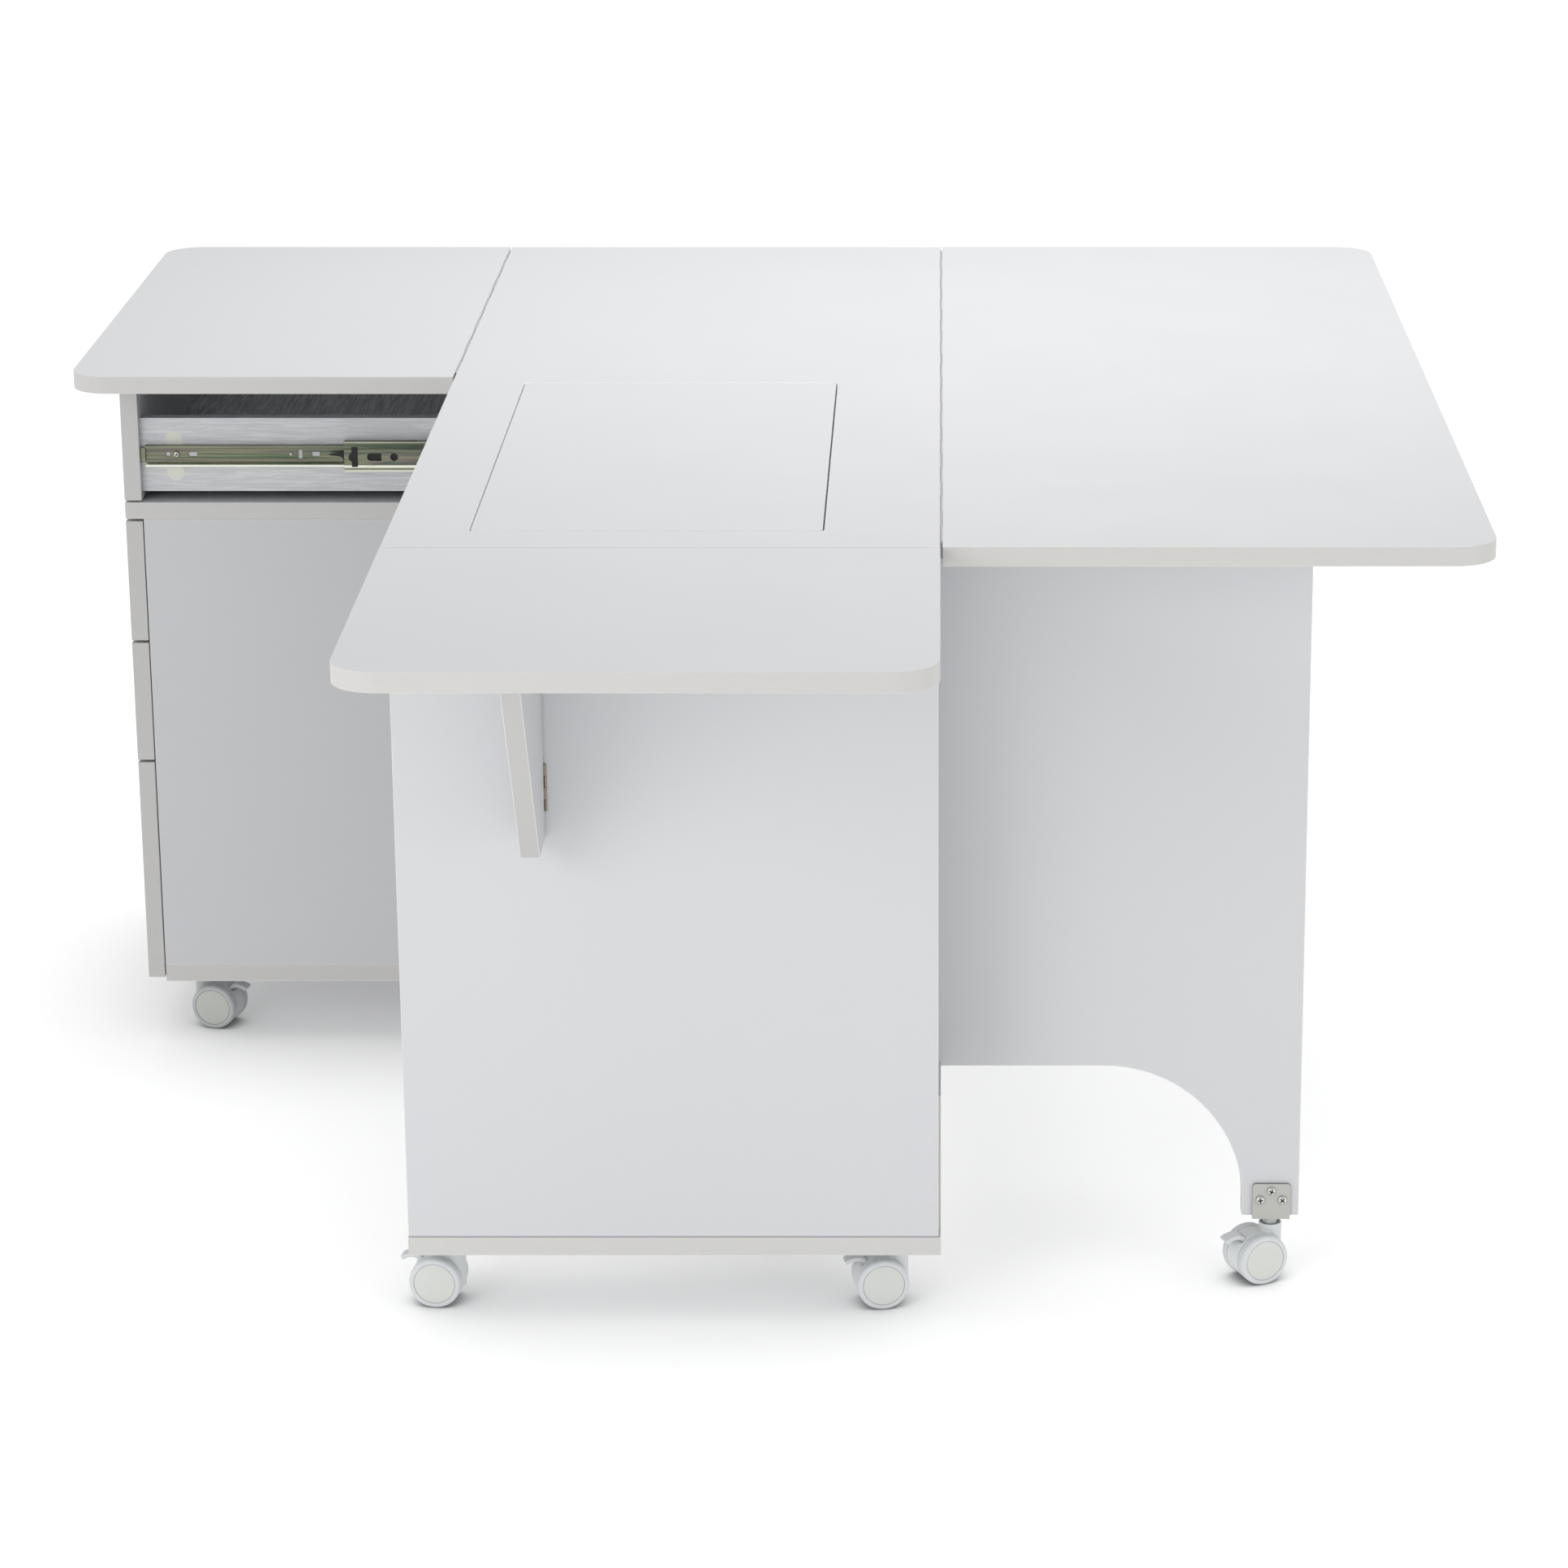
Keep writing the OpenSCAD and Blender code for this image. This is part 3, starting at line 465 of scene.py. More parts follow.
def weld_and_smooth():
    """A modifier tree that joins split corners and marks edges over 30 degrees sharp."""
    tree = bpy.data.node_groups.new("weld_and_smooth", "GeometryNodeTree")
    tree.interface.new_socket("Geometry", in_out="INPUT", socket_type="NodeSocketGeometry")
    tree.interface.new_socket("Geometry", in_out="OUTPUT", socket_type="NodeSocketGeometry")
    start = tree.nodes.new("NodeGroupInput")
    end = tree.nodes.new("NodeGroupOutput")
    merge = tree.nodes.new("GeometryNodeMergeByDistance")
    merge.inputs["Distance"].default_value = 1e-6
    strip = tree.nodes.new("GeometryNodeRemoveAttribute")
    strip.inputs["Name"].default_value = "custom_normal"
    faces = tree.nodes.new("GeometryNodeSetShadeSmooth")
    faces.domain = "FACE"
    faces.inputs["Shade Smooth"].default_value = True
    angle = tree.nodes.new("GeometryNodeInputMeshEdgeAngle")
    wide = tree.nodes.new("FunctionNodeCompare")
    wide.operation = "GREATER_THAN"
    wide.inputs["B"].default_value = math.radians(30)
    edges = tree.nodes.new("GeometryNodeSetShadeSmooth")
    edges.domain = "EDGE"
    edges.inputs["Shade Smooth"].default_value = False
    link = tree.links.new
    link(start.outputs[0], merge.inputs["Geometry"])
    link(merge.outputs["Geometry"], strip.inputs["Geometry"])
    link(strip.outputs["Geometry"], faces.inputs["Geometry"])
    link(faces.outputs["Geometry"], edges.inputs["Geometry"])
    link(angle.outputs["Unsigned Angle"], wide.inputs["A"])
    link(wide.outputs["Result"], edges.inputs["Selection"])
    link(edges.outputs["Geometry"], end.inputs[0])
    return tree


SMOOTHER = weld_and_smooth()


def rounded(obj, width, segments=3):
    """Rounds an object's sharp edges by width metres, with flat faces left flat."""
    obj.modifiers.new("Weld", "NODES").node_group = SMOOTHER
    bevel = obj.modifiers.new("Arris", "BEVEL")
    bevel.width = width
    bevel.segments = segments
    bevel.limit_method = "ANGLE"
    bevel.angle_limit = math.radians(32)
    bevel.harden_normals = True
    return obj


def dress(names, look, width, segments=3):
    """Gives CAD nodes a material and rounded arrises."""
    for name in names:
        slots = nodes[name].material_slots
        for slot in slots:
            slot.link = "OBJECT"
            slot.material = LOOK[look]
        if width:
            rounded(nodes[name], width, segments)


BOARD_ARRIS = 0.9 * MM
SHEET_ARRIS = 0.22 * MM
dress(("right_leaf", "left_leaf", "front_flap"), "top", BOARD_ARRIS)
dress(("center_top",), "center", BOARD_ARRIS)
dress(("lift_platform",), "platform", BOARD_ARRIS)
dress(("near_end_panel", "far_end_panel", "divider_panel"), "panel_y", BOARD_ARRIS)
dress(("gate_leg",), "gate", BOARD_ARRIS)
dress(("back_panel",), "panel_x", BOARD_ARRIS)
dress(("flap_brace",), "brace", BOARD_ARRIS)
dress(("cart_top",), "cart_top", BOARD_ARRIS)
dress(("cart_base",), "cart_base", BOARD_ARRIS)
dress(("drawer_front",), "front_x", BOARD_ARRIS)
dress(("cart_walls",), "cart_side", BOARD_ARRIS)
dress(("near_foot", "far_foot"), "foot", BOARD_ARRIS)
dress(("drawer_box",), "grained", BOARD_ARRIS)
dress(("cart_drawer_upper", "cart_drawer_middle", "cart_drawer_lower"), "cart_drawer",
      BOARD_ARRIS)
dress(("drawer_inner_rails", "drawer_mid_rails", "drawer_outer_rails"), "zinc", SHEET_ARRIS, 2)
dress(("frame_caster_plates", "cart_caster_plates", "lift_carriage", "cart_runners"), "steel",
      SHEET_ARRIS, 2)
dress(("lift_guides",), "guide", SHEET_ARRIS, 2)
dress(("fixed_hinge_leaves", "right_leaf_hinges", "left_leaf_hinges", "front_flap_hinges",
       "brace_hinges", "gate_hinges"), "hinge", 0)


# ---------------------------------------------------------------- mesh building

def new_object(name, bm):
    """Turns a bmesh into an object with smooth faces and sharp edges over 35 degrees."""
    mesh = bpy.data.meshes.new(name)
    bmesh.ops.recalc_face_normals(bm, faces=bm.faces)
    bm.to_mesh(mesh)
    bm.free()
    mesh.shade_smooth()
    mesh.set_sharp_from_angle(angle=math.radians(35))
    obj = bpy.data.objects.new(name, mesh)
    bpy.context.scene.collection.objects.link(obj)
    return obj


def lathe(name, profile, steps=64):
    """A solid of revolution about z from (radius, height) points in millimetres."""
    bm = bmesh.new()
    rings = []
    for radius, height in profile:
        if radius < 1e-6:
            rings.append([bm.verts.new((0, 0, height * MM))])
            continue
        turns = [2 * math.pi * i / steps for i in range(steps)]
        rings.append([bm.verts.new((radius * MM * math.cos(a), radius * MM * math.sin(a),
                                    height * MM)) for a in turns])
    pairs = list(zip(rings, rings[1:]))
    if len(rings[0]) > 1 and len(rings[-1]) > 1:
        pairs.append((rings[-1], rings[0]))
    for low, high in pairs:
        for i in range(steps):
            j = (i + 1) % steps
            corners = [low[i % len(low)], low[j % len(low)], high[j % len(high)],
                       high[i % len(high)]]
            bm.faces.new(dict.fromkeys(corners))
    return new_object(name, bm)


def prism(name, outline, depth, arris=0.0, segments=3):
    """An outline in millimetres on the xy plane, raised by depth, with rounded arrises."""
    bm = bmesh.new()
    low = [bm.verts.new((x * MM, y * MM, 0)) for x, y in outline]
    high = [bm.verts.new((x * MM, y * MM, depth * MM)) for x, y in outline]
    bm.faces.new(low[::-1])
    bm.faces.new(high)
    count = len(outline)
    for i in range(count):
        j = (i + 1) % count
        bm.faces.new((low[i], low[j], high[j], high[i]))
    if arris:
        sharp = [e for e in bm.edges if e.calc_face_angle(0) > math.radians(32)]
        bmesh.ops.bevel(bm, geom=sharp, offset=arris * MM, segments=segments, profile=0.5,
                        affect="EDGES", clamp_overlap=True)
    return new_object(name, bm)


def slab(name, size, arris=0.0):
    """A block centred on the origin, with rounded arrises, sized in millimetres."""
    x, y, z = size
    corners = ((-x / 2, -y / 2), (x / 2, -y / 2), (x / 2, y / 2), (-x / 2, y / 2))
    obj = prism(name, corners, z, arris)
    obj.data.transform(Matrix.Translation((0, 0, -z / 2 * MM)))
    return obj


def rounded_outline(width, height, radius, steps=6):
    """A rectangle about the origin with round corners, in millimetres."""
    points = []
    for quarter, (sx, sy) in enumerate(((1, 1), (-1, 1), (-1, -1), (1, -1))):
        for i in range(steps + 1):
            a = math.pi / 2 * (quarter + i / steps)
            points.append((sx * (width / 2 - radius) + radius * math.cos(a),
                           sy * (height / 2 - radius) + radius * math.sin(a)))
    return points


def place(obj, matrix, body, slot, look):
    """Puts a piece in the row frame, on its body, with its material; the slot argument is not used."""
    obj.matrix_world = matrix
    if obj.data.materials and obj.data.materials[0] != LOOK[look]:
        obj.data = obj.data.copy()
    obj.data.materials.clear()
    obj.data.materials.append(LOOK[look])
    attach(obj, body)
    return obj


def copy_of(name, source):
    """Another object with the same mesh."""
    obj = bpy.data.objects.new(name, source.data)
    bpy.context.scene.collection.objects.link(obj)
    return obj


def discard(*objects):
    for obj in objects:
        bpy.data.objects.remove(obj)


def basis(x, y, z, origin):
    """A matrix from three axes and an origin."""
    matrix = Matrix.Identity(4)
    for i, axis in enumerate((x, y, z, origin)):
        for row in range(3):
            matrix[row][i] = axis[row]
    return matrix


# Turn a piece's z to +y, or to -y
ALONG_Y = Matrix.Rotation(math.radians(-90), 4, "X")
AGAINST_Y = Matrix.Rotation(math.radians(90), 4, "X")


# ---------------------------------------------------------------- casters

def modified_mesh(obj, name):
    """The mesh of an object after its modifiers."""
    graph = bpy.context.evaluated_depsgraph_get()
    mesh = bpy.data.meshes.new_from_object(obj.evaluated_get(graph))
    mesh.name = name
    return mesh


def hood_profile():
    """Half section of the hood: (radius, distance along the axle)."""
    edge = 1.6
    points = [(0, -HOOD_HALF)]
    for side in (-1, 1):
        for i in range(5):
            a = math.pi / 2 * (i / 4 if side < 0 else 1 - i / 4)
            points.append((HOOD_R - edge + edge * math.sin(a),
                           side * (HOOD_HALF - edge + edge * math.cos(a))))
    points.append((0, HOOD_HALF))
    return points


def caster_shell_mesh(with_pocket):
    """The hood between the wheels, flowing into the neck."""
    trail = Vector((-TRAIL * MM, 0, WHEEL_R * MM))
    hood = lathe("hood", hood_profile(), 72)
    hood.data.transform(Matrix.Translation(trail) @ ALONG_Y)
    neck_h = NECK_TOP - 2.5
    neck = lathe("neck", [(0, 17), (NECK_R, 17), (NECK_R, neck_h), (0, neck_h)], 48)
    cut = slab("cut", (80, 40, 20))
    cut.data.transform(Matrix.Translation((trail.x, 0, (HOOD_OPEN_Z - 10) * MM)))
    pocket = slab("pocket", (10, 2 * LEVER_HALF + 1.4, 10), 1.0)
    pocket.data.transform(Matrix.Translation((-34.2 * MM, 0, 45.6 * MM)))
    bore = lathe("bore", [(0, -30), (4.2, -30), (4.2, 30), (0, 30)], 32)
    bore.data.transform(Matrix.Translation(trail) @ ALONG_Y)
    steps = [("UNION", neck), ("DIFFERENCE", cut), ("DIFFERENCE", bore)]
    if with_pocket:
        steps.append(("DIFFERENCE", pocket))
    for operation, tool in steps:
        modifier = hood.modifiers.new(operation, "BOOLEAN")
        modifier.operation = operation
        modifier.solver = "EXACT"
        modifier.object = tool
    remesh = hood.modifiers.new("Remesh", "REMESH")
    remesh.mode = "VOXEL"
    remesh.voxel_size = 0.85 * MM
    remesh.use_smooth_shade = True
    smooth = hood.modifiers.new("Soften", "SMOOTH")
    smooth.factor = 0.5
    smooth.iterations = 6
    mesh = modified_mesh(hood, "caster_shell_braked" if with_pocket else "caster_shell_plain")
    discard(hood, neck, cut, pocket, bore)
    return mesh


def collar_profile():
    """The neck's rim with the sunk seat of the king pin."""
    low, top = NECK_TOP - 5, NECK_TOP
    return [(4.3, low), (NECK_R - 0.1, low), (NECK_R, low + 0.3), (NECK_R, top - 0.6),
            (NECK_R - 0.2, top - 0.2), (NECK_R - 0.6, top), (NECK_R - 1.3, top),
            (NECK_R - 1.6, top - 0.3), (NECK_R - 1.8, top - 1.0), (NECK_R - 1.9, top - 2.2),
            (4.3, top - 2.2)]


def guard_profile():
    """A raised ring round the hood beside each wheel: (radius, distance along the axle)."""
    return [(HOOD_R - 1.5, 8.7), (HOOD_R - 0.1, 8.8), (HOOD_R + 0.25, 9.1), (HOOD_R + 0.3, 9.6),
            (HOOD_R + 0.25, 10.1), (HOOD_R - 0.1, 10.5), (HOOD_R - 1.5, 10.7)]


def guard_ring(side):
    """The part of a guard ring that lies above the hood's open underside."""
    ring = lathe("guard", guard_profile(), 96)
    lift = Matrix.Translation((-TRAIL * MM, 0, WHEEL_R * MM))
    turn = ALONG_Y if side > 0 else AGAINST_Y
    ring.data.transform(lift @ turn)
    bm = bmesh.new()
    bm.from_mesh(ring.data)
    geometry = bm.verts[:] + bm.edges[:] + bm.faces[:]
    bmesh.ops.bisect_plane(bm, geom=geometry, plane_co=(0, 0, (HOOD_OPEN_Z + 0.3) * MM),
                           plane_no=(0, 0, -1), clear_outer=True)
    bmesh.ops.holes_fill(bm, edges=[e for e in bm.edges if e.is_boundary])
    discard(ring)
    return new_object("guard", bm)


def wheel_profile():
    """A wheel half: (radius, distance along the axle from its outer face, negative inwards)."""
    round_r = 3.2
    points = [(HUB_R, -1.2), (HUB_R + 0.05, -0.25), (HUB_R + 0.25, -0.02), (HUB_R + 0.6, 0)]
    for i in range(7):
        a = math.pi / 2 * i / 6
        points.append((WHEEL_R - round_r + round_r * math.sin(a),
                       -round_r + round_r * math.cos(a)))
    for groove in (-5.0, -6.6):
        points += [(WHEEL_R, groove + 0.3), (WHEEL_R - 0.35, groove + 0.2),
                   (WHEEL_R - 0.35, groove - 0.2), (WHEEL_R, groove - 0.3)]
    points += [(WHEEL_R, 1.0 - WHEEL_T), (WHEEL_R - 0.3, 0.3 - WHEEL_T),
               (WHEEL_R - 1.0, -WHEEL_T), (15, -WHEEL_T), (14.4, 0.9 - WHEEL_T),
               (8, 0.9 - WHEEL_T), (8, -1.2)]
    return points


def hub_profile():
    """The hub disc pressed into a wheel's outer face, with a slight crown."""
    edge = HUB_R - 0.3
    return [(0, -0.08), (9, -0.10), (16, -0.18), (edge - 0.6, -0.26), (edge - 0.15, -0.38),
            (edge, -0.65), (edge, -3.0), (0, -3.0)]


def lever_outline():
    """Side view of the foot lever: a rising curved paddle with a hooked tip."""
    start, bend, tip = Vector((0, 0)), Vector((-9.0, 12.4)), Vector((-22.4, 3.8))
    upper, lower = [], []
    steps = 14
    for i in range(steps + 1):
        t = i / steps
        point = (1 - t) ** 2 * start + 2 * t * (1 - t) * bend + t * t * tip
        slope = 2 * (1 - t) * (bend - start) + 2 * t * (tip - bend)
        normal = Vector((slope.y, -slope.x)).normalized()
        half = 2.2 - 0.5 * t + 0.40 * math.exp(-((t - 0.93) / 0.06) ** 2)
        upper.append(point + normal * half)
        lower.append(point - normal * half)
    return [tuple(p) for p in upper + lower[::-1]]


def caster_matrix(name):
    """The caster's own frame, from its swivel and wheel joints."""
    swivel = Vector(joints[f"swivel_{name}_turn"]["pos_m"])
    roll = joints[f"roll_{name}_spin"]
    across = Vector(roll["axis"]).normalized()
    forward = Vector((swivel.x - roll["pos_m"][0], swivel.y - roll["pos_m"][1], 0)).normalized()
    up = Vector((0, 0, 1))
    if forward.cross(across).z < 0:
        across = -across
    return basis(forward, across, up, (swivel.x, swivel.y, 0))


def make_casters():
    """Hood, collar, guards, axle, wheels and brake lever of every caster; the cart's are painted darker
    as painted shade.
    """
    shells = {flag: caster_shell_mesh(flag) for flag in (True, False)}
    collar = lathe("collar", collar_profile(), 48)
    guards = [guard_ring(side) for side in (-1, 1)]
    wheel = lathe("wheel", wheel_profile(), 72)
    hub = lathe("hub", hub_profile(), 64)
    lever = prism("lever", lever_outline(), 2 * LEVER_HALF, 0.7)
    lever.data.transform(AGAINST_Y @ Matrix.Translation((0, 0, -LEVER_HALF * MM)))
    axle = lathe("axle", [(0, -12.4), (2.8, -12.4), (3, -12.2), (3, 12.2), (2.8, 12.4), (0, 12.4)],
                 32)
    for name in CASTERS:
        at = caster_matrix(name)
        swivel, roll = f"swivel_{name}", f"roll_{name}"
        # The cart's casters take the darker looks, a painted shade
        cart_shade_prefix = "cart_" if CASTERS[name] == "cart" else ""
        shell = bpy.data.objects.new(f"caster_hood_{name}", shells[name in BRAKED])
        bpy.context.scene.collection.objects.link(shell)
        place(shell, at, swivel, "caster_shell", cart_shade_prefix + "shell")
        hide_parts(f"housing_{name}")
        place(copy_of(f"caster_collar_{name}", collar), at, swivel, "caster_shell", cart_shade_prefix + "shell")
        for side, guard in zip("ab", guards):
            place(copy_of(f"caster_guard_{side}_{name}", guard), at, swivel, "caster_shell",
                  cart_shade_prefix + "shell")
        centre = at @ Matrix.Translation((-TRAIL * MM, 0, WHEEL_R * MM))
        first = place(copy_of(f"caster_axle_{name}", axle), centre @ ALONG_Y, roll,
                      "caster_wheel", "steel")
        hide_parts(f"wheels_{name}")
        for side, turn in (("a", ALONG_Y), ("b", AGAINST_Y)):
            outer = centre @ turn @ Matrix.Translation((0, 0, (WHEEL_IN + WHEEL_T) * MM))
            place(copy_of(f"caster_tread_{side}_{name}", wheel), outer, roll, "caster_wheel",
                  cart_shade_prefix + "tread")
            place(copy_of(f"caster_hub_{side}_{name}", hub), outer, roll, "caster_wheel",
                  cart_shade_prefix + "hub")
        if name in BRAKED:
            pivot = at.inverted() @ Vector(joints[f"lever_{name}_press"]["pos_m"])
            arm = place(copy_of(f"caster_lever_{name}", lever),
                        at @ Matrix.Translation((pivot.x, 0, pivot.z)), f"lever_{name}",
                        "caster_shell", cart_shade_prefix + "shell")
            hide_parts(f"brake_{name}")
    discard(collar, *guards, wheel, hub, lever, axle)


# ---------------------------------------------------------------- fasteners

def screw_head():
    """A pan head with a cross recess, its seat on z = 0."""
    radius, height = 4.5, 2.6
    profile = [(0, 0), (radius, 0), (radius, height * 0.28), (radius * 0.93, height * 0.55),
               (radius * 0.78, height * 0.80), (radius * 0.55, height * 0.94),
               (radius * 0.3, height), (0, height)]
    head = lathe("head", profile, 40)
    for angle in (45, 135):
        cross = slab("cross", (radius * 1.15, radius * 0.26, height), radius * 0.05)
        cross.data.transform(Matrix.Translation((0, 0, height * 0.82 * MM))
                             @ Matrix.Rotation(math.radians(angle), 4, "Z"))
        cut = head.modifiers.new("Recess", "BOOLEAN")
        cut.operation = "DIFFERENCE"
        cut.solver = "EXACT"
        cut.object = cross
    mesh = modified_mesh(head, "screw_head")
    for modifier in head.modifiers:
        bpy.data.objects.remove(modifier.object)
    discard(head)
    mesh.set_sharp_from_angle(angle=math.radians(30))
    return mesh


def put_screw(name, mesh, matrix, body):
    """Puts a screw with a shared mesh on a body."""
    obj = bpy.data.objects.new(name, mesh)
    bpy.context.scene.collection.objects.link(obj)
    return place(obj, matrix, body, "bright_steel", "screw")


def facing_matrix(point, direction, spin=0.0, scale=1.0):
    """A frame at point whose z runs along direction, turned by spin degrees and scaled."""
    turn = Vector(direction).to_track_quat("Z", "Y").to_matrix().to_4x4()
    return (Matrix.Translation(point) @ turn
            @ Matrix.Rotation(math.radians(spin), 4, "Z") @ Matrix.Scale(scale, 4))


def make_gate_bracket():
    """The angle plate on the gate leg's foot, its screws and the caster's lock nut."""
    low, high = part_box("gate_bracket")
    leg_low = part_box("gate_leg")[0]
    gate = joints["swivel_gate_turn"]["pos_m"]
    plate_t = (leg_low.y - low.y) / MM
    width = (high.x - low.x) / MM
    height = (high.z - low.z) / MM
    flange_z = leg_low.z - 3 * MM
    plate_h = (high.z - flange_z) / MM
    outline = [(-width / 2, 0), (width / 2, 0)]
    corner = BRACKET_CORNER_R
    for sign in (1, -1):
        for i in range(7):
            a = math.pi / 2 * (i / 6 if sign > 0 else 1 + i / 6)
            outline.append((sign * (width / 2 - corner) + corner * math.cos(a),
                            plate_h - corner + corner * math.sin(a)))
    upright = prism("gate_plate", outline, plate_t, 0.5)
    frame_at = basis((1, 0, 0), (0, 0, 1), (0, -1, 0), (gate[0], leg_low.y, flange_z))
    place(upright, frame_at, "gate", "grey_metal", "plate")
    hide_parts("gate_bracket")
    depth = (high.y - leg_low.y) / MM + 1
    flange = prism("gate_flange", rounded_outline(width - 0.4, depth, 1.2), BRACKET_FLANGE_T, 0.4)
    place(flange, Matrix.Translation((gate[0], high.y - depth / 2 * MM, flange_z + 0.1 * MM)),
          "gate", "grey_metal", "plate")
    corners = [math.radians(60 * i + NUT_TURN) for i in range(6)]
    hexagon = [(NUT_R * math.cos(a), NUT_R * math.sin(a)) for a in corners]
    nut = prism("gate_lock_nut", hexagon, NUT_H, 0.6)
    nut_z = flange_z - (NUT_H - 0.1) * MM
    place(nut, Matrix.Translation((gate[0], gate[1], nut_z)), "gate", "bright_steel", "nut")
    washer = lathe("gate_washer", [(4.1, 0), (8.6, 0), (8.8, 0.2), (8.8, 0.7), (4.1, 0.7)], 48)
    place(washer, Matrix.Translation((gate[0], gate[1], (NECK_TOP - 1.9) * MM)), "gate",
          "bright_steel", "recess")
    pin_low = low.z
    pin_h = (flange_z - pin_low) / MM
    pin = lathe("gate_king_pin", [(0, 0), (3.6, 0), (4, 0.4), (4, pin_h), (0, pin_h)], 40)
    place(pin, Matrix.Translation((gate[0], gate[1], pin_low)), "gate", "bright_steel", "steel")
    head = screw_head()
    for i, (dx, dz) in enumerate(BRACKET_SCREWS):
        at = Vector((gate[0] + dx * MM, leg_low.y - plate_t * MM, flange_z + dz * MM))
        screw = put_screw(f"gate_screw_{i}", head, facing_matrix(at, (0, -1, 0), 20 + 35 * i),
                          "gate")
        if i == 0:
            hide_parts("gate_screws")


def disc_profile(radius, depth):
    """Half section of a thin round piece with softened edges, its back on z = 0."""
    return [(0, 0), (radius, 0), (radius, depth * 0.6), (radius - depth * 0.4, depth), (0, depth)]


def make_slide_details():
    """Screws, end stops, springs and cover stickers on both drawer slides."""
    head = screw_head()
    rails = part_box("drawer_inner_rails")
    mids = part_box("drawer_mid_rails")
    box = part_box("drawer_box")
    front = rails[0].x
    mid_front = mids[0].x
    cross = [(-3.1, -10.5), (3.1, -10.5), (3.1, 10.5), (-3.1, 10.5), (-3.1, 4.2), (-5.0, 3.6),
             (-6.4, 0.6), (-6.4, -1.6), (-4.8, -4.0), (-3.1, -4.4)]
    spring = [(0, -7.0), (0, 7.4), (-1.8, 7.0), (-2.6, 3.6), (-16.5, 2.4), (-18.5, 1.8),
              (-15.0, 0.8), (-6.0, -0.4), (-3.0, -2.4), (-2.0, -6.6)]
    for label, side, wall, rail_y, mid_y in (("near", -1, box[0].y, rails[0].y, mids[0].y),
                                             ("far", 1, box[1].y, rails[1].y, mids[1].y)):
        def flat(x, y, z):
            """A frame on the slide whose x runs along the rail and whose z faces the cabinet."""
            return basis((1, 0, 0), (0, 0, -side), (0, side, 0), (x, y, z))

        web_y = rail_y - side * INNER_WEB_DEPTH * MM
        stickers = ((29.8, 16.5, "upper"), (30.6, -18.2, "lower"))
        for dx, dz, level in stickers:
            spot = lathe("spot", disc_profile(STICKER_R, STICKER_T))
            place(copy_of(f"slide_sticker_{level}_{label}", spot),
                  facing_matrix((front + dx * MM, wall, SLIDE_Z + dz * MM), (0, side, 0)),
                  "drawer", "grained_melamine", "cap")
            discard(spot)
        place_flat = [
            (f"slide_end_tab_{label}", prism("tab", rounded_outline(5.2, 15, 0.8), 3.0, 0.3),
             flat(front - 2.7 * MM, web_y, SLIDE_Z + 0.8 * MM), "drawer", "yellow_zinc", "zinc"),
            (f"slide_cross_stop_{label}", prism("cross", cross, 1.2, 0.3),
             flat(mid_front + 11.2 * MM, mid_y, SLIDE_Z), "drawer_mid", "grey_metal", "black"),
            (f"slide_spring_{label}", prism("spring", spring, 1.2, 0.3),
             flat(mid_front + 1.5 * MM, mid_y - side * 3.4 * MM, SLIDE_Z + 0.5 * MM),
             "drawer_mid", "grey_metal", "black"),
            (f"slide_ball_cage_{label}", prism("cage", rounded_outline(48, 15, 2), 0.9, 0.2),
             flat(mid_front + 42 * MM, mid_y - side * 2.4 * MM, SLIDE_Z), "drawer_mid",
             "grey_metal", "black"),
        ]
        for name, piece, matrix, body, slot, look in place_flat:
            place(copy_of(name, piece), matrix, body, slot, look)
            discard(piece)
        for i, (dx, scale) in enumerate(((32.6, 0.78), (153.8, 0.42), (300, 0.78))):
            at = (front + dx * MM, web_y, SLIDE_Z + 1.0 * MM)
            put_screw(f"slide_screw_{i}_{label}", head, facing_matrix(at, (0, side, 0), 20, scale),
                      "drawer")


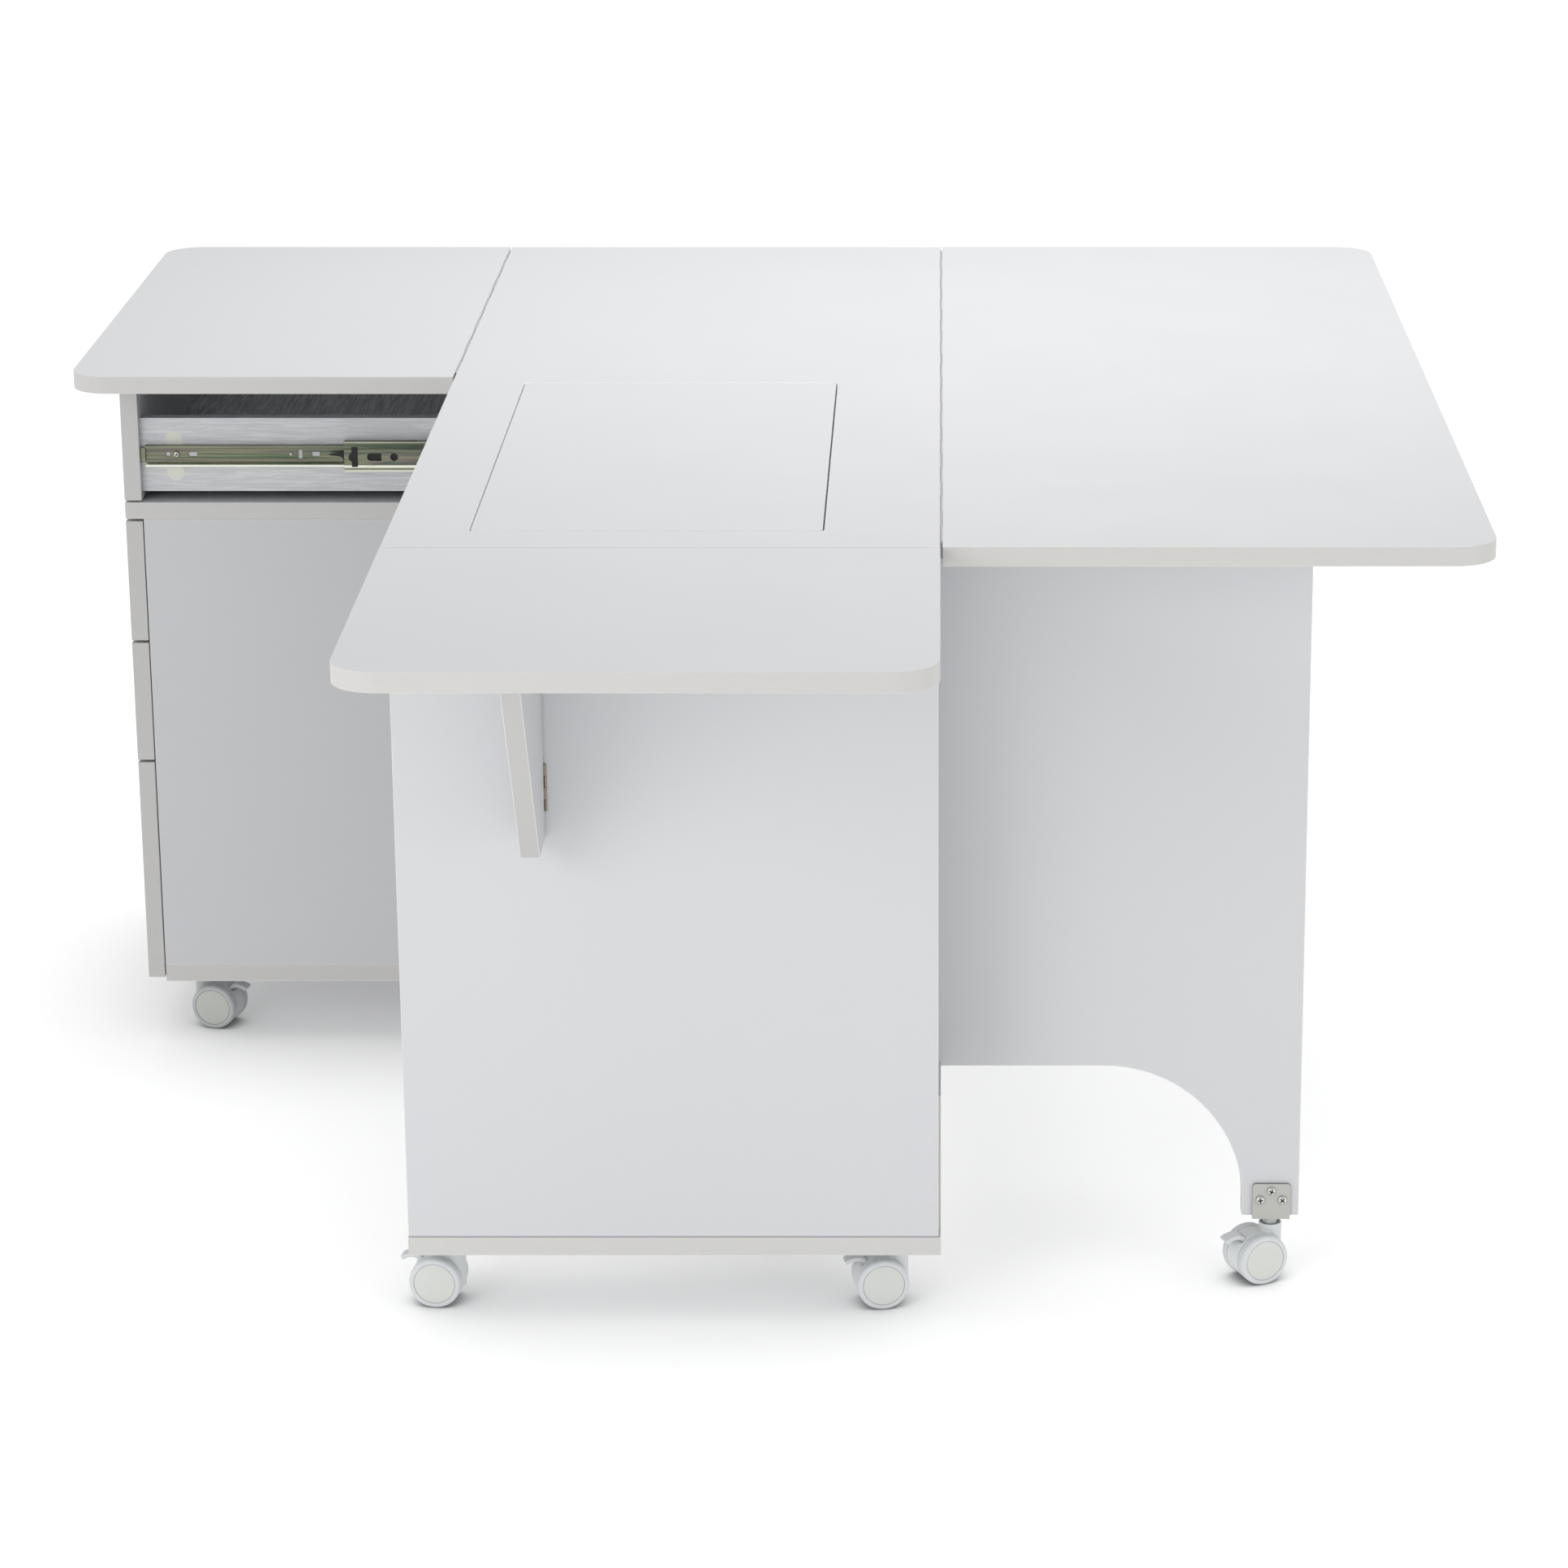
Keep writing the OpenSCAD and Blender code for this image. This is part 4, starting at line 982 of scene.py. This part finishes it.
def make_plate_screws():
    """Four screws under each caster's swivel plate."""
    head = screw_head()
    for name, body in CASTERS.items():
        if name == "gate":
            continue
        swivel = joints[f"swivel_{name}_turn"]["pos_m"]
        plate_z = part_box("frame_caster_plates" if body == "frame" else "cart_caster_plates")[1].z
        for i, (sx, sy) in enumerate(((-1, -1), (1, -1), (1, 1), (-1, 1))):
            at = (swivel[0] + sx * PLATE_SCREW_REACH * MM, swivel[1] + sy * PLATE_SCREW_REACH * MM,
                  plate_z - SWIVEL_PLATE_T * MM)
            put_screw(f"plate_screw_{i}_{name}", head,
                      facing_matrix(at, (0, 0, -1), 30 * i, 0.8), body)


# ---------------------------------------------------------------- stage

def make_stage():
    """The floor and an even white surround."""
    bm = bmesh.new()
    bmesh.ops.create_grid(bm, x_segments=1, y_segments=1, size=60)
    floor = new_object("floor", bm)
    floor.data.materials.append(floor_look())
    world = bpy.data.worlds.new("studio")
    bpy.context.scene.world = world
    world.use_nodes = True
    background = world.node_tree.nodes["Background"]
    background.inputs["Color"].default_value = (1.0, 1.0, 1.0, 1.0)
    background.inputs["Strength"].default_value = 0.70


def area_light(name, at, target, size, power):
    """A softbox of size metres and power watts at a point, aimed at a target."""
    light = bpy.data.lights.new(name, "AREA")
    light.shape = "RECTANGLE"
    light.size, light.size_y = size
    light.energy = power
    obj = bpy.data.objects.new(name, light)
    bpy.context.scene.collection.objects.link(obj)
    obj.location = at
    obj.rotation_euler = (Vector(target) - Vector(at)).to_track_quat("-Z", "Y").to_euler()
    obj.visible_camera = False


def make_lights():
    area_light("overhead_softbox", (0.38, 0.62, 2.35), (0.36, 0.56, 0.7), (1.3, 1.3), 21)
    area_light("left_softbox", (-1.7, -2.7, 1.5), (-0.1, -0.8, 0.4), (1.6, 1.2), 20)
    area_light("right_softbox", (2.2, -1.7, 0.75), (0.75, -0.35, 0.5), (1.2, 0.9), 5)


def make_camera():
    """The view named at the top of the script."""
    data = bpy.data.cameras.new("camera")
    data.lens = CAMERA_LENS
    data.sensor_width = 36
    data.shift_x = CAMERA_SHIFT
    data.clip_end = 200
    camera = bpy.data.objects.new("camera", data)
    camera.location = CAMERA_AT
    camera.rotation_euler = (math.radians(90 - CAMERA_PITCH), 0, 0)
    bpy.context.scene.collection.objects.link(camera)
    bpy.context.scene.camera = camera


make_camera()
make_stage()
make_lights()
make_casters()
make_gate_bracket()
make_slide_details()
make_plate_screws()
bpy.context.scene.view_settings.view_transform = "Standard"

bpy.context.view_layer.update()
